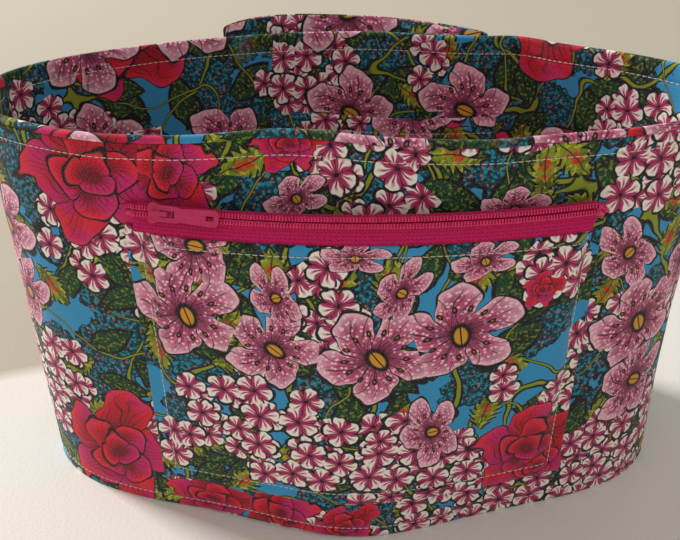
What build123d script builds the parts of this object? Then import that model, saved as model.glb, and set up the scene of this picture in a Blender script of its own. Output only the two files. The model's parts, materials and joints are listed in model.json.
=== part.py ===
"""Knitting bag: an open, handle-less oval organiser of quilting cotton over soft foam.

The walls are three layers (outer cotton, foam, lining). The front carries a patch pocket closed by a
nylon coil zip, the back carries an open slip pocket, and the lining carries three inner pockets.
Millimetres, +X along the bag's length, +Y towards its back, +Z up, standing on Z = 0.
"""
import math
import os
from bisect import bisect_left

from build123d import *

# ---- the bag's outline: two halves meet at the side seams, on the line Y = 0 while modelling
HEIGHT = 185.0
RIM_LENGTH = 292.0
RIM_FRONT_DEPTH = 73.0       # side-seam line to the middle of the front rim
RIM_BACK_DEPTH = 73.0
RIM_FRONT_POWER = 2.8        # 2 is an ellipse, more is squarer
RIM_BACK_POWER = 1.7
BASE_LENGTH = 310.0
BASE_FRONT_DEPTH = 75.0
BASE_FRONT_BELLY = 17.0      # how much further the middle of the front bulges
BASE_BELLY_WIDTH = 55.0
BASE_BACK_DEPTH = 64.0
BASE_FRONT_POWER = 3.0
BASE_BACK_POWER = 2.2

# ---- the layers of the walls and base
OUTER_COTTON = 0.8
FOAM = 2.2
LINING = 0.6
RIM_ROLL = 0.7               # thickness of the lining strip that rolls over the top edge

# ---- stitching
THREAD = 0.25
SEWN_GAP = 0.05              # between a sewn-on piece and the face that it lies on
STITCH_WIDTH = 0.5
RIM_STITCH_DROP = 8.6
BASE_STITCH_RISE = 5.0
SEAM_BREAK = 0.002           # share of a half's edge where topstitching breaks at a side seam

# ---- zipped patch pocket on the front
POCKET_WIDTH = 182.0
POCKET_SHIFT = 4.0           # its middle lies this far to the right
POCKET_BOTTOM = 20.0
POCKET_HEIGHT = 130.5
POCKET_COTTON = 0.8
POCKET_LINING = 0.5
POCKET_STITCH_INSET = 6.5
POCKET_TOP_STITCH_INSET = 5.0

# ---- nylon coil zip along the pocket's top
ZIP_BEND_RADIUS = 340.0
ZIP_STAND_OFF = 8.0          # chain's middle to the outer cotton, at the pocket's middle
ZIP_LEAN = 25.0              # degrees that the tape leans back from upright
ZIP_LENGTH = 176.0
TAPE = 0.5
TAPE_SHOWING = 8.0           # chain's middle to the pocket's folded edge
TAPE_HIDDEN = 5.0
COIL_WIDTH = 1.6
COIL_HEIGHT = 1.25
COIL_GAP = 0.9
UPPER_TAPE_FLAT = 4.8
UPPER_TAPE_DROP = 11.0
CLEARANCE = 0.3

# ---- slider and pull
SLIDER_LENGTH = 9.6
SLIDER_NOSE_WIDTH = 8.0
SLIDER_PLATE = 0.8
SLIDER_FLANGE = 0.8
SLIDER_REST = -75.0          # along the zip, from its middle
SLIDER_END = 79.0
WEDGE_WIDTH = 0.3
BRIDGE_WIDTH = 1.7
BRIDGE_LENGTH = 7.0
BRIDGE_THICKNESS = 0.8
PULL_LENGTH = 23.0
PULL_WIDTH = 6.0
PULL_THICKNESS = 1.0
PULL_BAR = 0.65              # pivot to the end of the pull behind it
PULL_SLOT_START = 0.5
PULL_SLOT_LENGTH = 5.6
PULL_SLOT_WIDTH = 2.5
PULL_HOLE_LENGTH = 3.0
PULL_HOLE_WIDTH = 1.8

# ---- open slip pocket on the back
SLIP_LEFT = -60.0
SLIP_RIGHT = 64.0
SLIP_BOTTOM = 38.0
SLIP_TOP = 183.0
SLIP_BULGE = 15.0
SLIP_COTTON = 0.8
SLIP_LINING = 0.5
SLIP_GAP = 0.4               # clear of the topstitching that it is sewn over

# ---- inner pockets, sewn to the lining
INNER_COTTON = 1.2
INNER_GAP = 0.15             # between a pocket's sewn edges and the lining
INNER_BOTTOM = 42.0
INNER_TOP = 144.0
INNER_BACK_LEFT = -46.0
INNER_BACK_RIGHT = 72.0
INNER_DIVIDER = -30.0
INNER_BACK_BULGE = 8.0
INNER_END_BULGE = 14.0
INNER_END_FRONT = 0.20       # share of the front half's edge that an end pocket reaches round
INNER_END_BACK = 0.22

# ---- what follows from them
WALL = OUTER_COTTON + FOAM + LINING
WALL_TOP = HEIGHT - RIM_ROLL
POCKET_TOP = POCKET_BOTTOM + POCKET_HEIGHT
LEAN = math.radians(ZIP_LEAN)
ZIP_Z = POCKET_TOP + TAPE_SHOWING * math.cos(LEAN)
CURVE_STEP = 7.0


class Outline:
    """An oval in plan. Place 0 to 1 is its front edge from left to right, 1 to 2 its back edge."""

    def __init__(self, length, front_depth, back_depth, front_power, back_power, belly=0.0):
        front = [self._corner(length / 2, -front_depth, front_power, -math.cos(a)) for a in half_turn()]
        front = [(x, y - belly * math.exp(-(x / BASE_BELLY_WIDTH) ** 2)) for x, y in front]
        back = [self._corner(length / 2, back_depth, back_power, math.cos(a)) for a in half_turn()]
        self.halves = [with_lengths(front), with_lengths(back)]

    @staticmethod
    def _corner(half_length, depth, power, along):
        across = math.sqrt(max(0.0, 1 - along * along))
        x = half_length * math.copysign(abs(along) ** (2 / power), along)
        return x, depth * across ** (2 / power)

    def on_edge(self, place):
        points, lengths = self.halves[int(place % 2)]
        reach = (place % 1) * lengths[-1]
        i = min(max(1, bisect_left(lengths, reach)), len(points) - 1)
        share = (reach - lengths[i - 1]) / (lengths[i] - lengths[i - 1])
        return [a + (b - a) * share for a, b in zip(points[i - 1], points[i])]

    def at(self, place, inset):
        """The point at this place, moved in from the edge by inset."""
        x, y = self.on_edge(place)
        x0, y0 = self.on_edge(place - 0.004)
        x1, y1 = self.on_edge(place + 0.004)
        size = math.hypot(x1 - x0, y1 - y0)
        return x - inset * (y1 - y0) / size, y + inset * (x1 - x0) / size


def half_turn():
    return [math.pi * i / 1200 for i in range(1201)]


def with_lengths(points):
    lengths = [0.0]
    for a, b in zip(points, points[1:]):
        lengths.append(lengths[-1] + math.dist(a, b))
    return points, lengths


rim = Outline(RIM_LENGTH, RIM_FRONT_DEPTH, RIM_BACK_DEPTH, RIM_FRONT_POWER, RIM_BACK_POWER)
base = Outline(
    BASE_LENGTH, BASE_FRONT_DEPTH, BASE_BACK_DEPTH, BASE_FRONT_POWER, BASE_BACK_POWER, BASE_FRONT_BELLY)


def wall_point(place, z, inset):
    """A point of the wall: inset 0 is its outer face, WALL its inner face, and less than 0 is outside."""
    low, high = base.at(place, inset), rim.at(place, inset)
    share = z / HEIGHT
    return tuple(a + (b - a) * share for a, b in zip(low, high)) + (z,)


def place_at(x, z, back=False):
    """Where along the wall's edge the given X lies, on the front half or the back half."""
    low, high = (1.0, 2.0) if back else (0.0, 1.0)
    for _ in range(40):
        middle = (low + high) / 2
        if (wall_point(middle, z, 0)[0] < x) != back:
            low = middle
        else:
            high = middle
    return middle


def wall_curve(z, start, end, inset):
    """Points along the wall from one place to another. The inset may be a function of 0 to 1 along it."""
    steps = max(4, round(abs(end - start) * RIM_LENGTH * 1.2 / CURVE_STEP))
    curve = []
    for i in range(steps + 1):
        share = i / steps
        depth = inset(share) if callable(inset) else inset
        curve.append(wall_point(start + (end - start) * share, z, depth))
    return curve


def band_face(one_side, other_side):
    """The flat face between two curves that run the same way."""
    there, back = Spline(*one_side), Spline(*reversed(other_side))
    sides = [Line(one_side[-1], other_side[-1]), Line(other_side[0], one_side[0])]
    return Face(Wire([there, sides[0], back, sides[1]]))


def band(low_outer, low_inner, high_outer, high_inner):
    """A thin upright piece: straight from its lower edge, between two curves, to its upper edge."""
    faces = [band_face(low_outer, low_inner), band_face(high_outer, high_inner)]
    return Solid.make_loft([face.outer_wire() for face in faces], ruled=True)


def wall_band(z0, z1, start, end, inset, thickness, high_inset=None):
    """A layer of the wall, or a piece that lies along it, from height z0 to height z1."""
    high_inset = inset if high_inset is None else high_inset

    def deeper(depth):
        return (lambda share: depth(share) + thickness) if callable(depth) else depth + thickness

    return band(
        wall_curve(z0, start, end, inset), wall_curve(z0, start, end, deeper(inset)),
        wall_curve(z1, start, end, high_inset), wall_curve(z1, start, end, deeper(high_inset)))


def floor_plate(z0, z1, inset):
    """A flat piece that fills the oval between two heights."""
    wires = []
    for z in (z0, z1):
        front = Spline(*wall_curve(z, 0, 1, inset))
        back = Spline(*wall_curve(z, 1, 2, inset))
        wires.append(Wire([front, back]))
    return Solid.make_loft(wires, ruled=True)


# ---- the bag itself
def outer_panel(half):
    return wall_band(0, WALL_TOP, half, half + 1, 0, OUTER_COTTON)


def wall_foam(half):
    return wall_band(OUTER_COTTON, WALL_TOP, half, half + 1, OUTER_COTTON, FOAM)


def lining_panel(half):
    """The lining inside the foam, with the strip that rolls outwards over the top edge."""
    wall = wall_band(OUTER_COTTON, WALL_TOP, half, half + 1, OUTER_COTTON + FOAM, LINING)
    roll = wall_band(WALL_TOP, HEIGHT, half, half + 1, 0, WALL)
    return wall + roll


def base_outer_panel():
    return floor_plate(0, OUTER_COTTON, OUTER_COTTON)


def base_foam():
    return floor_plate(OUTER_COTTON, OUTER_COTTON + FOAM, WALL + SEWN_GAP)


def base_lining_panel():
    return floor_plate(OUTER_COTTON + FOAM, WALL, WALL + SEWN_GAP)


def seam_thread(half, z, inset):
    """One line of topstitching round half of the bag, which stops just short of the side seams."""
    low, high = z - STITCH_WIDTH / 2, z + STITCH_WIDTH / 2
    return wall_band(low, high, half + SEAM_BREAK, half + 1 - SEAM_BREAK, inset, THREAD)


# ---- zipped patch pocket
def zip_axis():
    """The upright axis that the zip bends round, as X and Y."""
    wall_x, wall_y, _ = wall_point(place_at(POCKET_SHIFT, ZIP_Z), ZIP_Z, 0)
    return wall_x, wall_y - ZIP_STAND_OFF + ZIP_BEND_RADIUS


def zip_point(along, up, out):
    """A point beside the chain's middle: along the bend, up the leaning tape, and out from the tape."""
    axis_x, axis_y = zip_axis()
    radius = ZIP_BEND_RADIUS - up * math.sin(LEAN) + out * math.cos(LEAN)
    angle = along / ZIP_BEND_RADIUS
    z = ZIP_Z + up * math.cos(LEAN) + out * math.sin(LEAN)
    return axis_x + radius * math.sin(angle), axis_y - radius * math.cos(angle), z


def bend_curve(half_width, radius, z):
    """Points along a level arc round the zip's axis."""
    axis_x, axis_y = zip_axis()
    steps = max(6, round(2 * half_width / CURVE_STEP))
    angles = [half_width / ZIP_BEND_RADIUS * (2 * i / steps - 1) for i in range(steps + 1)]
    return [(axis_x + radius * math.sin(a), axis_y - radius * math.cos(a), z) for a in angles]


def bend_section(half_width, corners):
    """A piece of constant section along the zip's bend: corners are (up, out) beside the chain."""
    axis_x, axis_y = zip_axis()
    outline = [zip_point(-half_width, up, out) for up, out in corners]
    section = Face(Wire(Polyline(*outline, close=True).edges()))
    axis = Axis((axis_x, axis_y, 0), (0, 0, 1))
    return Solid.revolve(section, math.degrees(2 * half_width / ZIP_BEND_RADIUS), axis)


def fold_radius():
    """How far the tape's outer face is from the zip's axis at the pocket's folded edge."""
    return ZIP_BEND_RADIUS + TAPE_SHOWING * math.sin(LEAN) + TAPE / 2 / math.cos(LEAN)


def pocket_panel(low_inset, high_inner_radius, thickness):
    """A layer of the pocket: along the wall at its bottom edge, along the zip's bend at its top edge."""
    half = POCKET_WIDTH / 2
    start = place_at(POCKET_SHIFT - half, POCKET_BOTTOM)
    end = place_at(POCKET_SHIFT + half, POCKET_BOTTOM)
    return band(
        wall_curve(POCKET_BOTTOM, start, end, low_inset - thickness),
        wall_curve(POCKET_BOTTOM, start, end, low_inset),
        bend_curve(half, high_inner_radius + thickness, POCKET_TOP),
        bend_curve(half, high_inner_radius, POCKET_TOP))


def pocket_front_panel():
    return pocket_panel(-POCKET_LINING, fold_radius() + CLEARANCE, POCKET_COTTON)


def pocket_lining_panel():
    return pocket_panel(0, fold_radius() - TAPE - CLEARANCE - POCKET_LINING, POCKET_LINING)


def pocket_face_point(x_share, z, thickness):
    """A point on the pocket front's outer face, from its left edge (0) to its right edge (1)."""
    half = POCKET_WIDTH / 2
    start = place_at(POCKET_SHIFT - half, POCKET_BOTTOM)
    end = place_at(POCKET_SHIFT + half, POCKET_BOTTOM)
    low = wall_point(start + (end - start) * x_share, POCKET_BOTTOM, -POCKET_LINING - POCKET_COTTON - thickness)
    axis_x, axis_y = zip_axis()
    angle = half / ZIP_BEND_RADIUS * (2 * x_share - 1)
    radius = fold_radius() + CLEARANCE + POCKET_COTTON + thickness
    high = (axis_x + radius * math.sin(angle), axis_y - radius * math.cos(angle), POCKET_TOP)
    share = (z - POCKET_BOTTOM) / POCKET_HEIGHT
    return tuple(a + (b - a) * share for a, b in zip(low, high))


def pocket_thread():
    """The topstitching on the pocket: a bar near its top, one near its bottom and one up each side."""
    edge = POCKET_STITCH_INSET / POCKET_WIDTH
    width = STITCH_WIDTH / POCKET_WIDTH
    low = POCKET_BOTTOM + POCKET_STITCH_INSET
    high = POCKET_TOP - POCKET_TOP_STITCH_INSET

    def bar(left, right, z0, z1):
        steps = max(4, round((right - left) * POCKET_WIDTH / CURVE_STEP))
        shares = [left + (right - left) * i / steps for i in range(steps + 1)]
        depths = (SEWN_GAP + THREAD, SEWN_GAP)
        curves = [[pocket_face_point(s, z, depth) for s in shares] for z in (z0, z1) for depth in depths]
        return band(*curves)

    return [
        bar(edge, 1 - edge, high - STITCH_WIDTH / 2, high + STITCH_WIDTH / 2),
        bar(edge, 1 - edge, low - STITCH_WIDTH / 2, low + STITCH_WIDTH / 2),
        bar(edge, edge + width, low + STITCH_WIDTH, high - STITCH_WIDTH),
        bar(1 - edge - width, 1 - edge, low + STITCH_WIDTH, high - STITCH_WIDTH)]


# ---- zip
def zip_tape_lower():
    """From the chain down the leaning face, then straight down behind the pocket's folded edge."""
    fold = TAPE_SHOWING
    leaning = bend_section(ZIP_LENGTH / 2, [
        (-COIL_GAP / 2, -TAPE / 2), (-COIL_GAP / 2, TAPE / 2), (-fold, TAPE / 2), (-fold, -TAPE / 2)])
    outer = fold_radius()
    half = ZIP_LENGTH / 2
    low, high = POCKET_TOP - TAPE_HIDDEN, POCKET_TOP
    hidden = band(
        bend_curve(half, outer, low), bend_curve(half, outer - TAPE, low),
        bend_curve(half, outer, high), bend_curve(half, outer - TAPE, high))
    return leaning + hidden


def zip_tape_upper():
    """From the chain up its leaning face, back over to the wall, and down the wall to its seam."""
    half = ZIP_LENGTH / 2
    leaning = bend_section(half, [
        (COIL_GAP / 2, -TAPE / 2), (COIL_GAP / 2, TAPE / 2),
        (UPPER_TAPE_FLAT, TAPE / 2), (UPPER_TAPE_FLAT, -TAPE / 2)])
    top = ZIP_Z + UPPER_TAPE_FLAT * math.cos(LEAN) - TAPE / 2 * math.sin(LEAN)
    start = place_at(POCKET_SHIFT - half, top)
    end = place_at(POCKET_SHIFT + half, top)
    radius = ZIP_BEND_RADIUS - UPPER_TAPE_FLAT * math.sin(LEAN)
    over = band(
        bend_curve(half, radius, top - TAPE), wall_curve(top - TAPE, start, end, -SEWN_GAP),
        bend_curve(half, radius, top), wall_curve(top, start, end, -SEWN_GAP))
    down = wall_band(top - UPPER_TAPE_DROP, top - TAPE, start, end, -TAPE - SEWN_GAP, TAPE)
    return leaning + over + down


def zip_coil(side):
    """One row of the nylon coil, on the face of its tape: side is 1 for the upper row, -1 for the lower."""
    near, far = side * COIL_GAP / 2, side * (COIL_GAP / 2 + COIL_WIDTH)
    low, high = TAPE / 2, TAPE / 2 + COIL_HEIGHT
    return bend_section(ZIP_LENGTH / 2, [(near, low), (near, high), (far, high), (far, low)])


def zip_plane(along):
    """The plane of the tape at a place along the zip: its X runs along the chain and its Z points out."""
    centre = Vector(*zip_point(along, 0, 0))
    tangent = Vector(math.cos(along / ZIP_BEND_RADIUS), math.sin(along / ZIP_BEND_RADIUS), 0)
    outward = Vector(*zip_point(along, 0, 1)) - centre
    return Plane(origin=centre, x_dir=tangent, z_dir=outward)


def block(x0, x1, y0, y1, z0, z1):
    size = (x1 - x0, y1 - y0, z1 - z0)
    return Pos((x0 + x1) / 2, (y0 + y1) / 2, (z0 + z1) / 2) * Box(*size)


def zip_end_tack(along):
    """A bar of thread sewn across both coils where the chain ends, which stops the slider."""
    reach = COIL_GAP / 2 + COIL_WIDTH + 0.6
    high = TAPE / 2 + COIL_HEIGHT
    over = block(-1, 1, -reach, reach, high, high + 0.5)
    return zip_plane(along) * over


# ---- slider and pull, modelled flat with X along the chain and Z out from the tape
FLANGE_IN = COIL_GAP / 2 + COIL_WIDTH + CLEARANCE
UNDER_PLATE_TOP = -TAPE / 2 - CLEARANCE
TOP_PLATE_LOW = TAPE / 2 + COIL_HEIGHT + CLEARANCE
TOP_PLATE_HIGH = TOP_PLATE_LOW + SLIDER_PLATE
BAR_REACH = math.hypot(PULL_BAR, PULL_THICKNESS / 2)
PIVOT = TOP_PLATE_HIGH + CLEARANCE + BAR_REACH
BRIDGE_LOW = PIVOT + BAR_REACH + CLEARANCE


def slider_plate(z0, z1):
    """A plate with broad shoulders at the nose, which narrow to the tail, where the closed chain leaves."""
    nose, tail = -SLIDER_LENGTH / 2, SLIDER_LENGTH / 2
    half_nose, half_tail = SLIDER_NOSE_WIDTH / 2, FLANGE_IN + SLIDER_FLANGE
    waist = nose + SLIDER_LENGTH * 0.45
    outline = Polyline(
        (nose, -half_nose * 0.75), (nose + 1.2, -half_nose), (waist, -half_tail), (tail, -half_tail),
        (tail, half_tail), (waist, half_tail), (nose + 1.2, half_nose), (nose, half_nose * 0.75), close=True)
    plate = extrude(make_face(outline), z1 - z0)
    return Pos(0, 0, z0) * fillet(plate.edges().filter_by(Axis.Z), 0.5)


def slider_body():
    under = slider_plate(UNDER_PLATE_TOP - SLIDER_PLATE, UNDER_PLATE_TOP)
    top = slider_plate(TOP_PLATE_LOW, TOP_PLATE_HIGH)
    top = fillet(top.edges().group_by(Axis.Z)[-1], 0.25)
    waist = -SLIDER_LENGTH * 0.05
    flange_low = TAPE / 2 + CLEARANCE
    flanges = [
        block(waist, SLIDER_LENGTH / 2, min(a, b), max(a, b), flange_low, TOP_PLATE_LOW)
        for a, b in ((FLANGE_IN, FLANGE_IN + SLIDER_FLANGE), (-FLANGE_IN - SLIDER_FLANGE, -FLANGE_IN))]
    wedge = block(
        -SLIDER_LENGTH / 2 + 0.2, -SLIDER_LENGTH / 2 + 2.6, -WEDGE_WIDTH / 2, WEDGE_WIDTH / 2,
        UNDER_PLATE_TOP, TOP_PLATE_LOW)
    return top + under + flanges[0] + flanges[1] + wedge + bridge()


def bridge():
    """The loop on the slider that holds the pull."""
    half = BRIDGE_LENGTH / 2
    high = BRIDGE_LOW + BRIDGE_THICKNESS
    loop = block(-half, half, -BRIDGE_WIDTH / 2, BRIDGE_WIDTH / 2, TOP_PLATE_HIGH, high)
    loop = chamfer(loop.edges().filter_by(Axis.Y).group_by(Axis.Z)[-1], 1.0)
    inside = half - BRIDGE_THICKNESS
    room = block(-inside, inside, -BRIDGE_WIDTH, BRIDGE_WIDTH, TOP_PLATE_HIGH, BRIDGE_LOW)
    return loop - room


def pull_tab():
    """A flat tab round the bridge: slotted at the slider, waisted, with a small square hole at its end."""
    half = PULL_WIDTH / 2
    neck = half - 0.5
    outline = Polyline(
        (-PULL_BAR, -half), (PULL_SLOT_LENGTH + 1, -half), (PULL_SLOT_LENGTH + 3, -neck),
        (PULL_LENGTH - 5, -half), (PULL_LENGTH, -half), (PULL_LENGTH, half), (PULL_LENGTH - 5, half),
        (PULL_SLOT_LENGTH + 3, neck), (PULL_SLOT_LENGTH + 1, half), (-PULL_BAR, half), close=True)
    tab = extrude(make_face(outline), PULL_THICKNESS)
    ends = tab.edges().filter_by(Axis.Z).group_by(Axis.X)
    tab = fillet(ends[-1], 1.6)
    tab = fillet(tab.edges().filter_by(Axis.Z).group_by(Axis.X)[0], 1.2)
    middle = PULL_SLOT_START + PULL_SLOT_LENGTH / 2
    tab -= Pos(middle, 0, 0) * block(
        -PULL_SLOT_LENGTH / 2, PULL_SLOT_LENGTH / 2, -PULL_SLOT_WIDTH / 2, PULL_SLOT_WIDTH / 2, -1, 3)
    hole_end = PULL_LENGTH - 1.8
    tab -= block(hole_end - PULL_HOLE_LENGTH, hole_end, -PULL_HOLE_WIDTH / 2, PULL_HOLE_WIDTH / 2, -1, 3)
    return Pos(0, 0, PIVOT - PULL_THICKNESS / 2) * tab


# ---- slip pocket on the back
def slip_share(share):
    """How far the slip pocket's mouth stands off along its width: steep at its left end, easy at its right."""
    left_to_right = 1 - share
    return math.sin(math.pi * left_to_right ** 0.5) ** 0.7 if 0 < left_to_right < 1 else 0.0


def slip_layer(out, thickness):
    """A layer of the slip pocket: out is how far its inner face is from the lowest layer's."""
    inset = -SLIP_GAP - out - thickness
    start = place_at(SLIP_RIGHT, SLIP_TOP, back=True)
    end = place_at(SLIP_LEFT, SLIP_TOP, back=True)
    return wall_band(
        SLIP_BOTTOM, SLIP_TOP, start, end, inset, thickness,
        high_inset=lambda share: inset - SLIP_BULGE * slip_share(share))


# ---- inner pockets
def inner_band(start, end, gap):
    """A pocket panel whose bottom edge is sewn to the lining and whose mouth stands off by the given gap."""
    sewn = WALL + INNER_GAP
    return wall_band(
        INNER_BOTTOM, INNER_TOP, start, end, sewn, INNER_COTTON, high_inset=lambda share: sewn + gap(share))


def inner_back_ends():
    return [place_at(x, INNER_TOP, back=True) for x in (INNER_BACK_RIGHT, INNER_BACK_LEFT)]


def divider_share():
    start, end = inner_back_ends()
    return (place_at(INNER_DIVIDER, INNER_TOP, back=True) - start) / (end - start)


def inner_back_gap(share):
    """Two lobes, one each side of the divider seam, where the panel is pulled back to the lining."""
    divider = divider_share()
    if share < divider:
        return INNER_BACK_BULGE * math.sin(math.pi * share / divider) ** 2
    narrow = (1 - divider) / divider
    return INNER_BACK_BULGE * narrow * math.sin(math.pi * (share - divider) / (1 - divider)) ** 2


def back_inner_pocket():
    start, end = inner_back_ends()
    return inner_band(start, end, inner_back_gap)


def divider_thread():
    """The seam that divides the back inner pocket, straight down its face."""
    start, end = inner_back_ends()
    middle = start + (end - start) * divider_share()
    half = STITCH_WIDTH / 2 / RIM_LENGTH
    face = WALL + INNER_GAP + INNER_COTTON + INNER_GAP
    return wall_band(INNER_BOTTOM + 3, INNER_TOP - 3, middle - half, middle + half, face, THREAD)


def end_inner_pocket(start, end):
    return inner_band(start, end, lambda share: INNER_END_BULGE * math.sin(math.pi * share) ** 2)


def build():
    slider_place = zip_plane(SLIDER_REST)
    outside, inside = -THREAD - SEWN_GAP, WALL + SEWN_GAP
    rim_stitch = HEIGHT - RIM_STITCH_DROP
    halves = {}
    for half, side in enumerate(("front", "back")):
        halves[f"{side}_outer_panel"] = outer_panel(half)
        halves[f"{side}_wall_foam"] = wall_foam(half)
        halves[f"{side}_lining_panel"] = lining_panel(half)
        halves[f"{side}_rim_topstitch_outside"] = seam_thread(half, rim_stitch, outside)
        halves[f"{side}_rim_topstitch_inside"] = seam_thread(half, rim_stitch, inside)
        halves[f"{side}_base_topstitch"] = seam_thread(half, BASE_STITCH_RISE, outside)
    return halves | {
        "base_outer_panel": base_outer_panel(),
        "base_foam": base_foam(),
        "base_lining_panel": base_lining_panel(),
        "zip_pocket_front_panel": pocket_front_panel(),
        "zip_pocket_lining_panel": pocket_lining_panel(),
        "zip_pocket_topstitch": pocket_thread(),
        "zip_tape_lower": zip_tape_lower(),
        "zip_tape_upper": zip_tape_upper(),
        "zip_coil_lower": zip_coil(-1),
        "zip_coil_upper": zip_coil(1),
        "zip_end_tacks": [zip_end_tack(along) for along in (-ZIP_LENGTH / 2 + 2, ZIP_LENGTH / 2 - 2)],
        "zip_slider": slider_place * slider_body(),
        "zip_pull": slider_place * pull_tab(),
        "back_slip_pocket_panel": slip_layer(SLIP_LINING, SLIP_COTTON),
        "back_slip_pocket_lining": slip_layer(0, SLIP_LINING),
        "back_inner_pocket_panel": back_inner_pocket(),
        "back_inner_pocket_divider_stitch": divider_thread(),
        "right_inner_pocket_panel": end_inner_pocket(1 - INNER_END_FRONT, 1 + INNER_END_BACK),
        "left_inner_pocket_panel": end_inner_pocket(2 - INNER_END_BACK, 2 + INNER_END_FRONT),
    }


def as_part(piece):
    return Compound(children=piece) if isinstance(piece, list) else piece


def main():
    os.makedirs("parts", exist_ok=True)
    nodes = {name: as_part(piece) for name, piece in build().items()}
    boxes = [piece.bounding_box() for piece in nodes.values()]
    front, back = min(box.min.Y for box in boxes), max(box.max.Y for box in boxes)
    left, right = min(box.min.X for box in boxes), max(box.max.X for box in boxes)
    to_origin = Pos(-(left + right) / 2, -(front + back) / 2, 0)
    for name, piece in nodes.items():
        export_step(to_origin * piece, f"parts/{name}.step")
    pivot = to_origin * Location(zip_plane(SLIDER_REST)) * Pos(0, 0, PIVOT)
    print("size", right - left, back - front, max(box.max.Z for box in boxes))
    print("zip axis", (to_origin * Pos(*zip_axis(), 0)).position)
    print("slider travel in degrees", math.degrees((SLIDER_END - SLIDER_REST) / ZIP_BEND_RADIUS))
    print("pull pivot", pivot.position)
    print("pull axis", zip_plane(SLIDER_REST).y_dir)


main()
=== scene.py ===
"""Knitting bag: printed cotton panels, zip, stitches and studio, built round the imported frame."""
import json
import math
from bisect import bisect_left

import bpy
from bpy.props import FloatProperty, FloatVectorProperty, PointerProperty
from mathutils import Matrix, Vector, noise


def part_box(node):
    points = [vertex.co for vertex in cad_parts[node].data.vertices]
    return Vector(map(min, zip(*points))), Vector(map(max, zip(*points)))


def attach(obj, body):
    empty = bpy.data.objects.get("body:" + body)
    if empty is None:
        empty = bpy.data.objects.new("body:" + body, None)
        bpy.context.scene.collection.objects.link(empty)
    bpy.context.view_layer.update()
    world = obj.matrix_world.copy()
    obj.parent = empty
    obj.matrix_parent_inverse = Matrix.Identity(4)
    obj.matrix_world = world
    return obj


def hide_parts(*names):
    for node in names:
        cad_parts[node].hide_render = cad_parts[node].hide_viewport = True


bl_info = {
    "name": "Knitting Bag",
    "version": (1, 0, 0),
    "blender": (4, 5, 0),
    "location": "3D View > Sidebar > Knitting Bag",
    "description": "Sews an oval organiser bag of printed cotton with a zipped pocket round its frame",
    "category": "Object",
}

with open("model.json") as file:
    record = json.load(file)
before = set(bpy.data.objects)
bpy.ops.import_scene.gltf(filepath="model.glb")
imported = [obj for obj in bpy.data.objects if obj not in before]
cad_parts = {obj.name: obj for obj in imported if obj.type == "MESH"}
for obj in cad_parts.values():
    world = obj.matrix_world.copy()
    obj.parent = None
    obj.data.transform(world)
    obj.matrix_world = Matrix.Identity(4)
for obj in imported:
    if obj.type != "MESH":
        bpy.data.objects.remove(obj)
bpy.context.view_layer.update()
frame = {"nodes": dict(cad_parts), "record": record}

MM = 0.001
FRONT_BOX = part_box("front_outer_panel")
BACK_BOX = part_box("back_outer_panel")
LINING_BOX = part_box("back_lining_panel")
SEAM_Y = FRONT_BOX[1][1]
BAG_HEIGHT = LINING_BOX[1][2]
POCKET_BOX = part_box("zip_pocket_front_panel")
SLIP_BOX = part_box("back_slip_pocket_panel")
INNER_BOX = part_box("back_inner_pocket_panel")
ZIP_JOINT = next(joint for joint in frame["record"]["behaviour"]["joints"] if joint["name"] == "zip_travel")


def srgb(red, green, blue):
    """A colour, 0 to 255 a channel, as scene-linear light."""
    def linear(value):
        value /= 255
        return value / 12.92 if value <= 0.04045 else ((value + 0.055) / 1.055) ** 2.4
    return linear(red), linear(green), linear(blue)


def length_setting(name, description, default_mm, precision=4):
    return FloatProperty(
        name=name, description=description, default=default_mm * MM, subtype="DISTANCE", unit="LENGTH",
        precision=precision)


def colour_setting(name, description, default):
    return FloatVectorProperty(
        name=name, description=description, default=default, size=3, min=0, max=1, subtype="COLOR")


class BagSizes(bpy.types.PropertyGroup):
    """The bag's cut sizes."""
    rim_depth: length_setting("Rim depth", "Side seams to the middle of the rim", 73)
    base_front_depth: length_setting("Base front depth", "Side seams to the front of the base", 75)
    base_belly: length_setting("Base belly", "How much further the middle of the base's front bulges", 17)
    base_back_depth: length_setting("Base back depth", "Side seams to the back of the base", 64)
    base_length: length_setting("Base length", "Length of the base", 310)
    outer_cotton: length_setting("Outer cotton", "Thickness of the outer panels", 0.8)
    foam: length_setting("Foam", "Thickness of the foam in the walls", 2.2)
    lining: length_setting("Lining", "Thickness of the lining", 0.6)
    rim_roll: length_setting("Rim roll", "How far the lining rolls down outside the rim", 2.6)
    rim_stitch: length_setting("Rim stitch", "Rim to its topstitching", 8.6)
    base_stitch: length_setting("Base stitch", "Table to the topstitching along the base", 5)
    ripple: length_setting("Ripple", "How far the soft walls wander", 0.6)


class ZipSizes(bpy.types.PropertyGroup):
    """The pocket's zip."""
    bend_radius: length_setting("Bend radius", "Radius that the chain bends round", 340)
    straight: length_setting("Straight run", "Half the chain's run before its ends turn down", 86.5)
    lean: FloatProperty(
        name="Lean", description="How far the tape leans back", default=math.radians(25), subtype="ANGLE",
        unit="ROTATION")
    tape: length_setting("Tape", "Thickness of the tape", 0.5)
    tape_showing: length_setting("Tape showing", "Chain's middle to the pocket's folded edge", 8)
    pitch: length_setting("Coil pitch", "Length of one turn of the coil", 1.15)
    coil_width: length_setting("Coil width", "Width of one row of the coil", 1.75)
    coil_height: length_setting("Coil height", "Height of the coil above its tape", 1.25)


class StitchSizes(bpy.types.PropertyGroup):
    """Topstitching."""
    pitch: length_setting("Stitch pitch", "Length of one stitch and its gap", 2.7)
    stitch: length_setting("Stitch", "Length of the thread that shows", 2.15)
    thread: length_setting("Thread", "Thickness of the thread", 0.42)


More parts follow.
